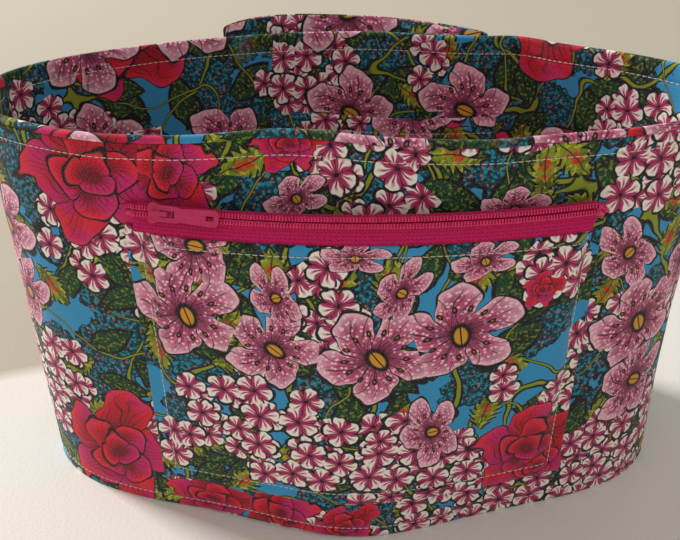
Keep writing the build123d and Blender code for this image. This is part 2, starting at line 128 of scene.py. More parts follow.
class PrintColours(bpy.types.PropertyGroup):
    """The print's inks and the plain colours."""
    sky: colour_setting("Sky", "Ground of the print", srgb(48, 146, 196))
    line: colour_setting("Line", "Drawn outlines", srgb(16, 12, 18))
    teal: colour_setting("Teal", "Dark foliage", srgb(10, 68, 84))
    leaf: colour_setting("Leaf", "Broad leaves", srgb(15, 70, 38))
    lime: colour_setting("Lime", "Toothed leaves and stems", srgb(138, 150, 32))
    pink: colour_setting("Pink", "Lily petals", srgb(210, 96, 138))
    blush: colour_setting("Blush", "Lily petal edges", srgb(250, 206, 218))
    plum: colour_setting("Plum", "Lily hearts", srgb(112, 14, 62))
    cream: colour_setting("Cream", "White of the small flowers", srgb(244, 236, 226))
    rose: colour_setting("Rose", "Small flower stripes", srgb(180, 48, 100))
    red: colour_setting("Red", "Rose petals", srgb(216, 16, 44))
    crimson: colour_setting("Crimson", "Rose shadows", srgb(128, 4, 36))
    ochre: colour_setting("Ochre", "Pistils", srgb(214, 150, 36))
    thread: colour_setting("Thread", "Topstitching", srgb(232, 222, 204))
    zip: colour_setting("Zip", "Zip tape and coil", srgb(204, 26, 96))
    foam: colour_setting("Foam", "Foam inside the walls", srgb(232, 230, 222))
    table: colour_setting("Table", "The pale cloth in front", srgb(234, 231, 224))
    # Painted shade: the darker colour the table takes beyond a slanting line, standing in for the unlit surface
    # behind the bag.
    backdrop: colour_setting("Backdrop", "The cloth behind", srgb(187, 179, 162))


# ---------------------------------------------------------------- the bag's shape

RIM_FRONT_POWER = 2.8
RIM_BACK_POWER = 1.7
BASE_FRONT_POWER = 3.0
BASE_BACK_POWER = 2.2
BELLY_WIDTH = 0.055

ROLL_ALLOWANCE = 6 * MM             # what the lining is cut longer by, to roll over the rim
POCKET_COTTON = 0.8 * MM
POCKET_LINING = 0.5 * MM
POCKET_STITCH_INSET = 6.5 * MM
POCKET_TOP_STITCH_INSET = 5.0 * MM

# The rim's soft bends: side, X, outwards, upwards and half width, in mm
RIM_BENDS = (
    ("front", -26, -3.6, 2.2, 26),
    ("front", 46, 1.2, -0.5, 22),
    ("front", -95, 1.4, 0.0, 18),
    ("back", 82, 6.5, 0.0, 15),
    ("back", -30, -1.5, 0.8, 30),
)
END_HOLLOW = 3.2 * MM               # how far the right end's wall is drawn in at half its height
RIGHT_BEND_LEAD = 2.6 * MM          # the zip's right end turns down this much sooner than its left end
LIFTED_EDGE = (-42, 2.2, 34)        # X, height and half width of the base edge that lifts, in mm


class Outline:
    """An oval in plan. Place 0 to 1 is its front edge from left to right, 1 to 2 its back edge."""

    def __init__(self, length, front_depth, back_depth, front_power, back_power, belly=0.0):
        turns = [math.pi * i / 1200 for i in range(1201)]
        front = [self._corner(length / 2, -front_depth, front_power, -math.cos(a)) for a in turns]
        front = [(x, y - belly * bell(x, BELLY_WIDTH)) for x, y in front]
        back = [self._corner(length / 2, back_depth, back_power, math.cos(a)) for a in turns]
        self.halves = [self._measure(front), self._measure(back)]

    @staticmethod
    def _corner(half_length, depth, power, along):
        across = math.sqrt(max(0.0, 1 - along * along))
        x = half_length * math.copysign(abs(along) ** (2 / power), along)
        return x, depth * across ** (2 / power)

    @staticmethod
    def _measure(points):
        lengths = [0.0]
        for a, b in zip(points, points[1:]):
            lengths.append(lengths[-1] + math.dist(a, b))
        return points, lengths

    def on_edge(self, place):
        points, lengths = self.halves[int(place % 2)]
        reach = (place % 1) * lengths[-1]
        i = min(max(1, bisect_left(lengths, reach)), len(points) - 1)
        share = (reach - lengths[i - 1]) / (lengths[i] - lengths[i - 1])
        return [a + (b - a) * share for a, b in zip(points[i - 1], points[i])]

    def normal(self, place):
        (x0, y0), (x1, y1) = self.on_edge(place - 0.004), self.on_edge(place + 0.004)
        size = math.hypot(x1 - x0, y1 - y0)
        return (y1 - y0) / size, -(x1 - x0) / size


def bell(distance, half_width):
    return math.exp(-(distance / half_width) ** 2)


def smooth(value):
    value = min(1.0, max(0.0, value))
    return value * value * (3 - 2 * value)


class Walls:
    """The soft wall's surface: a point for each place round it, height and distance outwards."""

    def __init__(self, sizes):
        rim_length = FRONT_BOX[1][0] - FRONT_BOX[0][0]
        self.rim = Outline(rim_length, sizes.rim_depth, sizes.rim_depth, RIM_FRONT_POWER, RIM_BACK_POWER)
        self.base = Outline(
            sizes.base_length, sizes.base_front_depth, sizes.base_back_depth, BASE_FRONT_POWER, BASE_BACK_POWER,
            sizes.base_belly)
        self.ripple = sizes.ripple
        self.lengths = [
            (self.rim.halves[half][1][-1] + self.base.halves[half][1][-1]) / 2 for half in (0, 1)]
        self.cache = {}

    def edge(self, place):
        place = round(place % 2, 7)
        if place not in self.cache:
            low, high = self.base.on_edge(place), self.rim.on_edge(place)
            self.cache[place] = (low, self.base.normal(place), high, self.rim.normal(place))
        return self.cache[place]

    def normal(self, place, z):
        _, low, _, high = self.edge(place)
        share = z / BAG_HEIGHT
        return Vector([a + (b - a) * share for a, b in zip(low, high)] + [0]).normalized()

    def plain(self, place, z, out):
        """The wall before it softens."""
        low, low_normal, high, high_normal = self.edge(place)
        share = z / BAG_HEIGHT
        flat = [
            a + n * out + (b + m * out - a - n * out) * share
            for a, n, b, m in zip(low, low_normal, high, high_normal)]
        return Vector((flat[0], flat[1] + SEAM_Y, z))

    def point(self, place, z, out):
        spot = self.plain(place, z, out)
        core = self.plain(place, z, 0)
        side = "front" if place % 2 < 1 else "back"
        high = max(0.0, z / BAG_HEIGHT)
        push, rise = 0.0, 0.0
        ends = smooth(min(place % 1, 1 - place % 1) / 0.1)
        for bend_side, x, outwards, upwards, width in RIM_BENDS:
            if bend_side == side:
                strength = bell(core.x / MM - x, width) * ends
                push += outwards * MM * strength * high ** 1.6
                rise += upwards * MM * strength * high ** 3
        push += self.ripple * noise.noise(Vector((core.x * 24, core.y * 24, z * 17))) * (0.35 + high)
        push += 0.4 * self.ripple * noise.noise(Vector((core.x * 70 + 5, core.y * 70, z * 60)))
        push -= END_HOLLOW * bell(place % 2 - 1, 0.2) * math.sin(math.pi * min(1.0, high))
        if side == "front":
            x, height, width = LIFTED_EDGE
            rise += height * MM * bell(core.x / MM - x, width) * max(0.0, 1 - z / 0.03) ** 2
        return spot + self.normal(place, z) * push + Vector((0, 0, rise))

    def along(self, place):
        """Distance along the cloth from the middle of the front or the back."""
        half = 0 if place % 2 < 1 else 1
        return (place % 2 - half - 0.5) * self.lengths[half]

    def place_at(self, x, z, back=False):
        low, high = (1.0, 2.0) if back else (0.0, 1.0)
        for _ in range(36):
            middle = (low + high) / 2
            if (self.plain(middle, z, 0).x < x) != back:
                low = middle
            else:
                high = middle
        return middle


# ---------------------------------------------------------------- meshes

def make_piece(name, verts, faces, uvs=None):
    """A new mesh object that rides on the bag. uvs holds one (u, v) for each corner of each face."""
    mesh = bpy.data.meshes.new(name)
    mesh.from_pydata([tuple(v) for v in verts], [], faces)
    if uvs:
        layer = mesh.uv_layers.new(name="cloth")
        flat = [value for corner in uvs for pair in corner for value in pair]
        layer.data.foreach_set("uv", flat)
    mesh.validate()
    mesh.shade_smooth()
    piece = bpy.data.objects.new(name, mesh)
    bpy.context.scene.collection.objects.link(piece)
    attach(piece, "bag")
    return piece


def sweep(name, point, section, shares, along, v_start=0.0):
    """Cloth with a closed section: point(share, z, out) places each corner of section(share)."""
    rings, measures = [], []
    for share in shares:
        loop = section(share)
        rings.append([point(share, z, out) for z, out in loop])
        run = [0.0]
        for a, b in zip(loop, loop[1:] + loop[:1]):
            run.append(run[-1] + math.dist(a, b))
        measures.append([v_start + value for value in run])
    count = len(rings[0])
    verts = [corner for ring in rings for corner in ring]
    faces, uvs = [], []
    for i in range(len(rings) - 1):
        u0, u1 = along(shares[i]), along(shares[i + 1])
        for j in range(count):
            k = (j + 1) % count
            faces.append((i * count + j, (i + 1) * count + j, (i + 1) * count + k, i * count + k))
            uvs.append((
                (u0, measures[i][j]), (u1, measures[i + 1][j]),
                (u1, measures[i + 1][j + 1]), (u0, measures[i][j + 1])))
    last = (len(rings) - 1) * count
    faces.append(tuple(range(count)))
    uvs.append([(along(shares[0]), measures[0][j]) for j in range(count)])
    faces.append(tuple(last + j for j in reversed(range(count))))
    uvs.append([(along(shares[-1]), measures[-1][j]) for j in reversed(range(count))])
    return make_piece(name, verts, faces, uvs)


def levels(low, high, step, *fine):
    """Heights from low to high, closer together about each stitch line in fine."""
    count = max(2, round((high - low) / step))
    heights = {round(low + (high - low) * i / count, 6) for i in range(count + 1)}
    for middle in fine:
        for offset in (-2.4, -1.6, -0.9, -0.4, 0, 0.4, 0.9, 1.6, 2.4):
            height = middle + offset * MM
            if low < height < high:
                heights.add(round(height, 6))
    return sorted(heights)


def even(count):
    return [i / count for i in range(count + 1)]


def edged(count, width):
    """Shares from 0 to 1 with more of them close to both edges of a piece this wide, in metres."""
    close = [0.0, 0.0003, 0.0008, 0.0015, 0.0025, 0.004, 0.0055, 0.0065, 0.0075, 0.009, 0.012]
    shares = {round(value / width, 6) for value in close} | {round(1 - value / width, 6) for value in close}
    return sorted(shares | {round(value, 6) for value in even(count) if 0.013 < value * width < width - 0.013})


def groove(z, *lines, depth=0.35):
    """How deep the stitches pull the cloth in at a height."""
    return -depth * MM * sum(bell((z - line) / MM, 1.1) for line in lines)


THREAD_SIDES = 6
FIRST_STITCH = 0.4 * MM             # where a row's first stitch starts
# One stitch's rings: share of its length, thickness and rise out of the cloth, in half threads
STITCH_RINGS = ((0.0, 0.35, -0.3), (0.12, 0.8, 0.25), (0.5, 1.0, 0.55), (0.88, 0.8, 0.25), (1.0, 0.35, -0.3))


def thread_ring(middle, across, over, radius):
    """The corners of a round thread about a point, given its two side directions."""
    turns = [math.tau * k / THREAD_SIDES for k in range(THREAD_SIDES)]
    return [middle + (across * math.cos(turn) + over * math.sin(turn)) * radius for turn in turns]


def thread_faces(first, rings):
    """The faces of a closed thread whose rings of corners start at index first."""
    faces = []
    for ring in range(rings - 1):
        a, b = first + ring * THREAD_SIDES, first + (ring + 1) * THREAD_SIDES
        for k in range(THREAD_SIDES):
            after = (k + 1) % THREAD_SIDES
            faces.append((a + k, a + after, b + after, b + k))
    end = first + (rings - 1) * THREAD_SIDES
    faces.append(tuple(first + k for k in reversed(range(THREAD_SIDES))))
    faces.append(tuple(end + k for k in range(THREAD_SIDES)))
    return faces


def stitch_row(path, sizes):
    """Stitches along a path of (point, outward normal): returns their corners and faces."""
    distances = [0.0]
    for (a, _), (b, _) in zip(path, path[1:]):
        distances.append(distances[-1] + (b - a).length)

    def at(distance):
        i = min(max(1, bisect_left(distances, distance)), len(path) - 1)
        share = (distance - distances[i - 1]) / max(1e-9, distances[i] - distances[i - 1])
        spot = path[i - 1][0].lerp(path[i][0], share)
        return spot, path[i - 1][1].lerp(path[i][1], share).normalized()

    verts, faces = [], []
    reach = FIRST_STITCH
    half = sizes.thread / 2
    while reach + sizes.stitch < distances[-1]:
        wobble = noise.noise(Vector((reach * 900, 3.1, 7.7)))
        ahead = (at(reach + sizes.stitch)[0] - at(reach)[0]).normalized()
        faces += thread_faces(len(verts), len(STITCH_RINGS))
        for share, size, height in STITCH_RINGS:
            spot, normal = at(reach + sizes.stitch * (share + 0.05 * wobble))
            side = normal.cross(ahead).normalized()
            middle = spot + normal * half * height + side * wobble * 0.12 * MM * (share - 0.5) * 2
            verts += thread_ring(middle, side, normal * 0.8, half * size)
        reach += sizes.pitch
    return verts, faces


def make_stitches(name, rows, nodes, sizes, material=None):
    """One piece of all the stitches along several paths."""
    verts, faces = [], []
    for path in rows:
        more_verts, more_faces = stitch_row(path, sizes)
        faces += [tuple(index + len(verts) for index in face) for face in more_faces]
        verts += more_verts
    finish_piece(make_piece(name, verts, faces), "thread", material or thread_material(), nodes)


def finish_piece(piece, slot, material, nodes):
    """Give a piece its material, and let it stand for its CAD nodes; slot is not used."""
    piece.data.materials.append(material)
    if nodes:
        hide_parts(*nodes)


# ---------------------------------------------------------------- the print, drawn in cloth coordinates

class Ink:
    """A number in a material's drawing: sums written with it become Math nodes."""

    def __init__(self, tree, socket):
        self.tree, self.socket = tree, socket

    def math(self, operation, *others, clamp=False):
        node = self.tree.nodes.new("ShaderNodeMath")
        node.operation, node.use_clamp = operation, clamp
        for slot, value in zip(node.inputs, (self,) + others):
            if isinstance(value, Ink):
                self.tree.links.new(value.socket, slot)
            else:
                slot.default_value = value
        return Ink(self.tree, node.outputs[0])

    def __add__(self, other):
        return self.math("ADD", other)

    def __sub__(self, other):
        return self.math("SUBTRACT", other)

    def __rsub__(self, other):
        return self.math("MULTIPLY_ADD", -1.0, other)

    def __mul__(self, other):
        return self.math("MULTIPLY", other)

    def __truediv__(self, other):
        return self.math("DIVIDE", other)

    def __pow__(self, other):
        return self.math("POWER", other)

    def __abs__(self):
        return self.math("ABSOLUTE")

    __radd__, __rmul__ = __add__, __mul__

    def both(self, other):
        return self.math("MINIMUM", other)

    def either(self, other):
        return self.math("MAXIMUM", other)

    def below(self, limit, soft=0.02):
        """1 where this is under the limit, 0 where it is over, with a soft step between."""
        if isinstance(limit, Ink):
            return (limit - self).math("MULTIPLY_ADD", 1 / soft, 0.5, clamp=True)
        return self.math("MULTIPLY_ADD", -1 / soft, limit / soft + 0.5, clamp=True)

    def above(self, limit, soft=0.02):
        return self.math("MULTIPLY_ADD", 1 / soft, 0.5 - limit / soft, clamp=True)

    def rays(self, count):
        """For an angle in radians: -0.5 to 0.5 across each of this many equal sectors."""
        return (self * (count / math.tau)).math("FRACT") - 0.5


class Drawing:
    """Adds the nodes of one material's print, from the ground up."""

    def __init__(self, tree, colours):
        self.tree, self.colours = tree, colours
        self.cloth = self.node("ShaderNodeUVMap", uv_map="cloth").outputs["UV"]
        self.colour = self.plain("sky")

    def node(self, kind, inputs=(), **settings):
        node = self.tree.nodes.new(kind)
        for name, value in settings.items():
            setattr(node, name, value)
        for name, value in dict(inputs).items():
            if isinstance(value, Ink):
                value = value.socket
            if isinstance(value, bpy.types.NodeSocket):
                self.tree.links.new(value, node.inputs[name])
            else:
                node.inputs[name].default_value = value
        return node

    def plain(self, name):
        return tuple(getattr(self.colours, name)) + (1.0,)

    def mix(self, under, over, share):
        if isinstance(under, str):
            under = self.plain(under)
        if isinstance(over, str):
            over = self.plain(over)
        node = self.node("ShaderNodeMix", data_type="RGBA")
        for index, value in ((0, share), (6, under), (7, over)):
            if isinstance(value, Ink):
                value = value.socket
            if isinstance(value, bpy.types.NodeSocket):
                self.tree.links.new(value, node.inputs[index])
            else:
                node.inputs[index].default_value = value
        return node.outputs[2]

    def paint(self, colour, share):
        self.colour = self.mix(self.colour, colour, share)

    def split(self, vector):
        node = self.node("ShaderNodeSeparateXYZ", {"Vector": vector})
        return Ink(self.tree, node.outputs["X"]), Ink(self.tree, node.outputs["Y"])

    def vector_math(self, operation, first, second=None, scale=None):
        node = self.node("ShaderNodeVectorMath", operation=operation)
        for slot, value in ((node.inputs[0], first), (node.inputs[1], second)):
            if isinstance(value, bpy.types.NodeSocket):
                self.tree.links.new(value, slot)
            elif value is not None:
                slot.default_value = value
        if scale is not None:
            node.inputs["Scale"].default_value = scale
        return node.outputs["Vector"]

    def noise(self, vector, scale, detail=1.0, lift=0.0):
        place = self.vector_math("ADD", vector, (lift, lift * 0.7, 0))
        node = self.node(
            "ShaderNodeTexNoise", {"Vector": place, "Scale": scale, "Detail": detail}, noise_dimensions="2D")
        return Ink(self.tree, node.outputs["Fac"])

    def wobble(self, vector, scale, size, lift=0.0):
        """The coordinates, shaken a little so that drawn edges aren't machine-perfect."""
        place = self.vector_math("ADD", vector, (lift, lift * 1.3, 0)) if lift else vector
        node = self.node("ShaderNodeTexNoise", {"Vector": place, "Scale": scale}, noise_dimensions="2D")
        node.inputs["Detail"].default_value = 1.0
        centred = self.vector_math("SUBTRACT", node.outputs["Color"], (0.5, 0.5, 0.5))
        return self.vector_math("ADD", vector, self.vector_math("SCALE", centred, scale=size))

    def polar(self, local):
        x, y = self.split(local)
        return (x * x + y * y) ** 0.5, y.math("ARCTAN2", x)

    # -- where motifs go
    def scatter(self, spacing, shift, jitter=0.85):
        """Motifs strewn over the cloth: local coordinates (1 is one spacing), a chance and a centre."""
        place = self.vector_math("SCALE", self.vector_math("ADD", self.cloth, shift), scale=1 / spacing)
        cells = self.node(
            "ShaderNodeTexVoronoi", {"Vector": place, "Scale": 1.0, "Randomness": jitter},
            voronoi_dimensions="2D")
        centre = cells.outputs["Position"]
        local = self.vector_math("SUBTRACT", place, centre)
        chance = self.node("ShaderNodeSeparateColor", {"Color": cells.outputs["Color"]})
        turn = Ink(self.tree, chance.outputs["Red"]) * math.tau
        turned = self.node(
            "ShaderNodeVectorRotate", {"Vector": local, "Angle": turn}, rotation_type="Z_AXIS")
        there = self.vector_math("SUBTRACT", self.vector_math("SCALE", centre, scale=spacing), shift)
        return turned.outputs["Vector"], Ink(self.tree, chance.outputs["Green"]), there

    def placed(self, spots):
        """The nearest of several motifs, as (u, v, radius, turn, squash) in mm and degrees."""
        nearest, chosen = None, None
        for u, v, radius, turn, squash in spots:
            node = self.node("ShaderNodeMapping", vector_type="TEXTURE")
            self.tree.links.new(self.cloth, node.inputs["Vector"])
            node.inputs["Location"].default_value = (u * MM, v * MM, 0)
            node.inputs["Rotation"].default_value = (0, 0, math.radians(turn))
            node.inputs["Scale"].default_value = (radius * MM, radius * squash * MM, 1)
            local = node.outputs["Vector"]
            far = self.node("ShaderNodeVectorMath", {0: local}, operation="LENGTH")
            distance = Ink(self.tree, far.outputs["Value"])
            if nearest is None:
                nearest, chosen = distance, local
                continue
            closer = distance.math("LESS_THAN", nearest)
            pick = self.node("ShaderNodeMix", data_type="VECTOR")
            self.tree.links.new(closer.socket, pick.inputs[0])
            self.tree.links.new(chosen, pick.inputs[4])
            self.tree.links.new(local, pick.inputs[5])
            nearest, chosen = nearest.both(distance), pick.outputs[1]
        return chosen

    def near(self, vector, spots):
        """Over 0 within any of several circles, as (u, v, radius) in mm."""
        result = None
        for u, v, radius in spots:
            node = self.node("ShaderNodeVectorMath", {0: vector, 1: (u * MM, v * MM, 0)}, operation="DISTANCE")
            value = 1.0 - Ink(self.tree, node.outputs["Value"]) * (1000 / radius)
            result = value if result is None else result.either(value)
        return result

    # -- the motifs
    def foliage(self, lift, amount):
        """Dark teal foliage, mottled and full of tiny dots."""
        shaken = self.wobble(self.cloth, 240, 0.007)
        depth = self.noise(shaken, 26, 1.5, lift)
        mottle = self.noise(self.cloth, 480, 1.0, 0.3)
        ground = self.mix(shaded(self.colours.teal, 0.35) + (1,), "teal", mottle.above(0.44, 0.08))
        ground = self.mix(ground, srgb(24, 132, 156) + (1,), mottle.above(0.60, 0.06))
        self.paint(ground, depth.above(amount, 0.01))
        dots = self.node(
            "ShaderNodeTexVoronoi", {"Vector": self.cloth, "Scale": 430.0}, voronoi_dimensions="2D")
        dot = Ink(self.tree, dots.outputs["Distance"]).below(0.2, 0.1)
        chance = self.node("ShaderNodeSeparateColor", {"Color": dots.outputs["Color"]})
        tint = self.mix(srgb(40, 160, 180) + (1,), srgb(222, 110, 84) + (1,),
                        Ink(self.tree, chance.outputs["Red"]).above(0.62, 0.05))
        self.paint(tint, dot.both(depth.above(amount + 0.012, 0.01)) * 0.7)
        self.paint("line", abs(depth - amount).below(0.008, 0.004))

    def stems(self, lift, scale, wide=0.011):
        flow = self.noise(self.wobble(self.cloth, 70, 0.005), scale, 0.0, lift)
        line = abs(flow - 0.5)
        self.paint("line", line.below(wide * 1.9, 0.004))
        self.paint("lime", line.below(wide * 0.9, 0.004))

    def leaves(self, spacing, shift, share, colour, toothed=False):
        local, chance, _ = self.scatter(spacing, shift)
        x, y = self.split(self.wobble(local, 2.5, 0.12))
        along = abs(x) * 1.75
        edge = (1.0 - along ** 1.6) * (0.25 if not toothed else 0.34)
        if toothed:
            edge = edge * ((x * 7).math("FRACT") * 0.42 + 0.62)
        across = abs(y)
        grows = chance.below(share, 0.0005)
        inside = across.below(edge, 0.02) * grows
        speck = self.noise(self.cloth, 400 if toothed else 620, 1.0, 0.4)
        tone = self.noise(self.cloth, 160, 1.0, 1.4)
        light = self.mix(shaded(getattr(self.colours, colour), 0.35) + (1,), colour, tone.above(0.44, 0.2))
        spots = srgb(206, 204, 66) + (1,) if toothed else "lime"
        light = self.mix(light, spots, speck.above(0.6, 0.06) * 0.65)
        if toothed:
            heart = (along * along + across * across * 8) ** 0.5
            light = self.mix(light, srgb(206, 62, 22) + (1,), heart.below(0.36, 0.12) * speck.above(0.46, 0.05))
        self.paint(light, inside)
        rib = across.below(0.016, 0.012).either(
            abs((along * 6 + across * 7).math("FRACT") - 0.5).below(0.05, 0.05) * 0.7)
        self.paint("line", rib * inside * 0.85)
        self.paint("line", abs(across - edge).below(0.026, 0.014) * grows * along.below(1.06, 0.02))

    def phlox(self, spacing, shift, spots, spread, lift):
        """Small five-petalled flowers in clusters, cream with rose stripes."""
        local, chance, there = self.scatter(spacing, shift, 0.72)
        cluster = self.noise(there, 19, 0.0, lift) + chance * 0.08
        if spots:
            cluster = cluster.either(self.near(there, spots) * 0.5 + spread + 0.02)
        grows = cluster.above(spread, 0.0002)
        far, angle = self.polar(self.wobble(local, 3.0, 0.14))
        petal = abs(angle.rays(5)) * 2.0
        edge = (1.0 - petal ** 3.0 * 0.45) * (0.48 + chance * 0.12)
        inside = far.below(edge, 0.03) * grows
        reach = far / edge
        stripe = (petal - reach * 0.5).below(0.16, 0.12) * reach.above(0.26, 0.2)
        face = self.mix("rose", "cream", stripe)
        face = self.mix(face, "plum", far.below(0.12, 0.16))
        face = self.mix(face, "rose", petal.below(0.16, 0.1) * reach.below(0.7, 0.3))
        self.paint(face, inside)
        creases = petal.above(0.94, 0.04) * far.above(0.06, 0.02)
        drawn = abs(far - edge).below(0.042, 0.02).either(creases * inside).either(far.below(0.06, 0.03))
        drawn = drawn.either(petal.below(0.03, 0.03) * reach.below(0.5, 0.1) * inside * 0.8)
        self.paint("line", drawn * grows * far.below(0.66, 0.02))

    def lily(self, local, grows=None):
        """A broad pink flower with speckled pointed petals, dark stamens and an ochre pistil."""
        shaken = self.wobble(local, 2.1, 0.26)
        far, angle = self.polar(shaken)
        petal = abs((angle + far * 0.4).rays(5)) * 2.0
        edge = 1.0 - petal ** 1.5 * 0.34 - petal ** 7 * 0.26
        reach = far / edge
        inside = far.below(edge, 0.02)
        near_far, near_angle = self.polar(local)
        streak = abs((angle + far * 0.3).rays(45))
        veins = streak.below(0.14, 0.12) * reach.below(0.72, 0.4)
        tone = self.noise(local, 2.4, 1.0, 1.0)
        face = self.mix("pink", "blush", reach.above(0.84, 0.4) * 0.95)
        shade = tone.above(0.54, 0.25) * reach.below(0.9, 0.1) * 0.45
        face = self.mix(face, shaded(self.colours.pink, 0.45) + (1,), shade)
        face = self.mix(face, "plum", veins * 0.65)
        face = self.mix(face, "plum", reach.below(0.32, 0.4) * 0.9)
        speckles = self.node(
            "ShaderNodeTexVoronoi", {"Vector": local, "Scale": 10.0}, voronoi_dimensions="2D")
        speck = Ink(self.tree, speckles.outputs["Distance"]).below(0.24, 0.1) * reach.above(0.38, 0.2)
        face = self.mix(face, "blush", speck * 0.95)
        crease = petal.above(0.955, 0.03).either(petal.below(0.025, 0.025) * reach.below(0.8, 0.1) * 0.85)
        crease = crease.either(abs(petal - reach * 0.62).below(0.02, 0.02) * reach.above(0.45, 0.1) * 0.8)
        face = self.mix(face, "line", crease * far.above(0.12, 0.02))
        face = self.mix(face, "line", streak.below(0.07, 0.06) * reach.below(0.42, 0.2) * 0.9)
        stamen = abs(near_angle.rays(13))
        stalks = (stamen * near_far).below(0.012, 0.01) * near_far.below(0.47, 0.03)
        face = self.mix(face, "line", stalks.either(near_far.below(0.17, 0.08)))
        tips = (((near_far - 0.49) * 17) ** 2 + (stamen * near_far * 14) ** 2) ** 0.5
        face = self.mix(face, "line", tips.below(1.2, 0.3))
        face = self.mix(face, "ochre", tips.below(0.42, 0.3) * 0.6)
        x, y = self.split(local)
        pistil = ((x * 8.5) ** 2 + ((y + 0.06) * 5.0) ** 2) ** 0.5
        face = self.mix(face, "line", pistil.below(1.3, 0.2))
        face = self.mix(face, "ochre", pistil.below(0.86, 0.2) * abs(x).above(0.012, 0.01))
        drawn = abs(far - edge).below(0.03, 0.02)
        if grows is not None:
            inside, drawn = inside * grows, drawn * grows
        self.paint(face, inside)
        self.paint("line", drawn)

    def rose(self, local, grows=None):
        """A full red bloom: three rounds of petals, each dark at its foot and bright at its lip."""
        magenta = srgb(196, 26, 112) + (1,)
        patches = self.noise(local, 1.5, 0.0, 3.0)
        for radius, count, turn, shake in ((0.98, 5, 0.0, 0.55), (0.62, 4, 0.8, 0.45), (0.32, 3, 2.3, 0.30)):
            far, angle = self.polar(self.wobble(local, 1.7, shake, radius))
            angle = angle + turn + far * 0.5
            petal = abs(angle.rays(count)) * 2.0
            edge = (1.0 - petal ** 2.5 * 0.3) * radius
            reach = far / edge
            inside = far.below(edge, 0.02)
            face = self.mix("crimson", "red", reach.above(0.62, 0.5))
            face = self.mix(face, magenta, patches.above(0.5, 0.16) * reach.above(0.55, 0.3) * 0.85)
            face = self.mix(face, srgb(236, 54, 84) + (1,), reach.above(0.9, 0.2) * petal.below(0.6, 0.5) * 0.6)
            veins = abs(angle.rays(count * 9)).below(0.10, 0.08) * reach.below(0.8, 0.3)
            face = self.mix(face, shaded(self.colours.crimson, 0.3) + (1,), veins * 0.8)
            drawn = abs(far - edge).below(0.014, 0.012).either(petal.above(0.965, 0.03) * inside)
            if grows is not None:
                inside, drawn = inside * grows, drawn * grows
            self.paint(face, inside)
            self.paint("line", drawn)


def weave_bump(drawing, strength, distance, scale):
    """The thread-by-thread surface of woven cloth, as a bump."""
    waves = []
    for direction in ("X", "Y"):
        wave = drawing.node(
            "ShaderNodeTexWave", {"Vector": drawing.cloth, "Scale": scale, "Distortion": 0.6},
            bands_direction=direction)
        waves.append(Ink(drawing.tree, wave.outputs["Fac"]))
    crumple = drawing.noise(drawing.cloth, 90, 3.0, 2.0)
    height = waves[0].either(waves[1]) * 0.3 + crumple * 1.2
    bump = drawing.node(
        "ShaderNodeBump", {"Height": height, "Strength": strength, "Distance": distance})
    return bump.outputs["Normal"]


def cotton_material(name, lift, lilies=(), roses=(), clusters=(), greenery=0.50, phlox_amount=0.56):
    """Printed quilting cotton. Motifs are strewn unless lilies and roses are listed."""
    if name in bpy.data.materials:
        return bpy.data.materials[name]
    material = bpy.data.materials.new(name)
    material.use_nodes = True
    tree = material.node_tree
    shader = tree.nodes["Principled BSDF"]
    draw = Drawing(tree, bpy.context.scene.bag_colours)
    draw.foliage(lift, greenery)
    draw.leaves(0.030, (lift, 0.3, 0), 0.62, "leaf")
    draw.stems(lift + 0.5, 19)
    draw.stems(lift + 1.1, 27, 0.009)
    draw.leaves(0.023, (lift + 0.7, 0.6, 0), 0.45, "leaf")
    draw.leaves(0.021, (lift + 0.2, 0.1, 0), 0.42, "lime", toothed=True)
    draw.phlox(0.0138, (lift, 0.7, 0), clusters, phlox_amount, lift + 2)
    draw.phlox(0.0152, (lift + 0.4, 0.2, 0), clusters, phlox_amount + 0.02, lift + 2)
    if roses:
        draw.rose(draw.placed(roses))
    else:
        local, chance, _ = draw.scatter(0.105, (lift, lift * 2, 0), 0.5)
        draw.rose(draw.vector_math("SCALE", local, scale=2.9), chance.below(0.55, 0.0005))
    if lilies:
        draw.lily(draw.placed(lilies))
    else:
        local, chance, _ = draw.scatter(0.062, (lift * 3, lift, 0), 0.7)
        draw.lily(draw.vector_math("SCALE", local, scale=2.5), chance.below(0.62, 0.0005))
    worn = draw.noise(draw.cloth, 1400, 2.0)
    colour = draw.mix(draw.colour, (0.55, 0.52, 0.5, 1), worn.above(0.62, 0.3) * 0.10)
    tree.links.new(colour, shader.inputs["Base Color"])
    tree.links.new((worn * 0.16 + 0.74).socket, shader.inputs["Roughness"])
    tree.links.new(weave_bump(draw, 0.35, 0.0004, 700), shader.inputs["Normal"])
    shader.inputs["Sheen Weight"].default_value = 0.12
    shader.inputs["Sheen Roughness"].default_value = 0.5
    shader.inputs["Specular IOR Level"].default_value = 0.25
    return material


def plain_material(name, colour, roughness, specular=0.3, sheen=0.0):
    """A new material with one colour and its shader and drawing, for the finishes below."""
    material = bpy.data.materials.new(name)
    material.use_nodes = True
    shader = material.node_tree.nodes["Principled BSDF"]
    shader.inputs["Base Color"].default_value = tuple(colour) + (1,)
    shader.inputs["Roughness"].default_value = roughness
    shader.inputs["Specular IOR Level"].default_value = specular
    shader.inputs["Sheen Weight"].default_value = sheen
    return material, shader


def object_noise(material, scale, detail, stretch=(1, 1, 1)):
    tree = material.node_tree
    place = tree.nodes.new("ShaderNodeTexCoord")
    mapping = tree.nodes.new("ShaderNodeMapping")
    mapping.inputs["Scale"].default_value = stretch
    tree.links.new(place.outputs["Object"], mapping.inputs["Vector"])
    node = tree.nodes.new("ShaderNodeTexNoise")
    node.inputs["Scale"].default_value = scale
    node.inputs["Detail"].default_value = detail
    tree.links.new(mapping.outputs["Vector"], node.inputs["Vector"])
    return Ink(tree, node.outputs["Fac"])


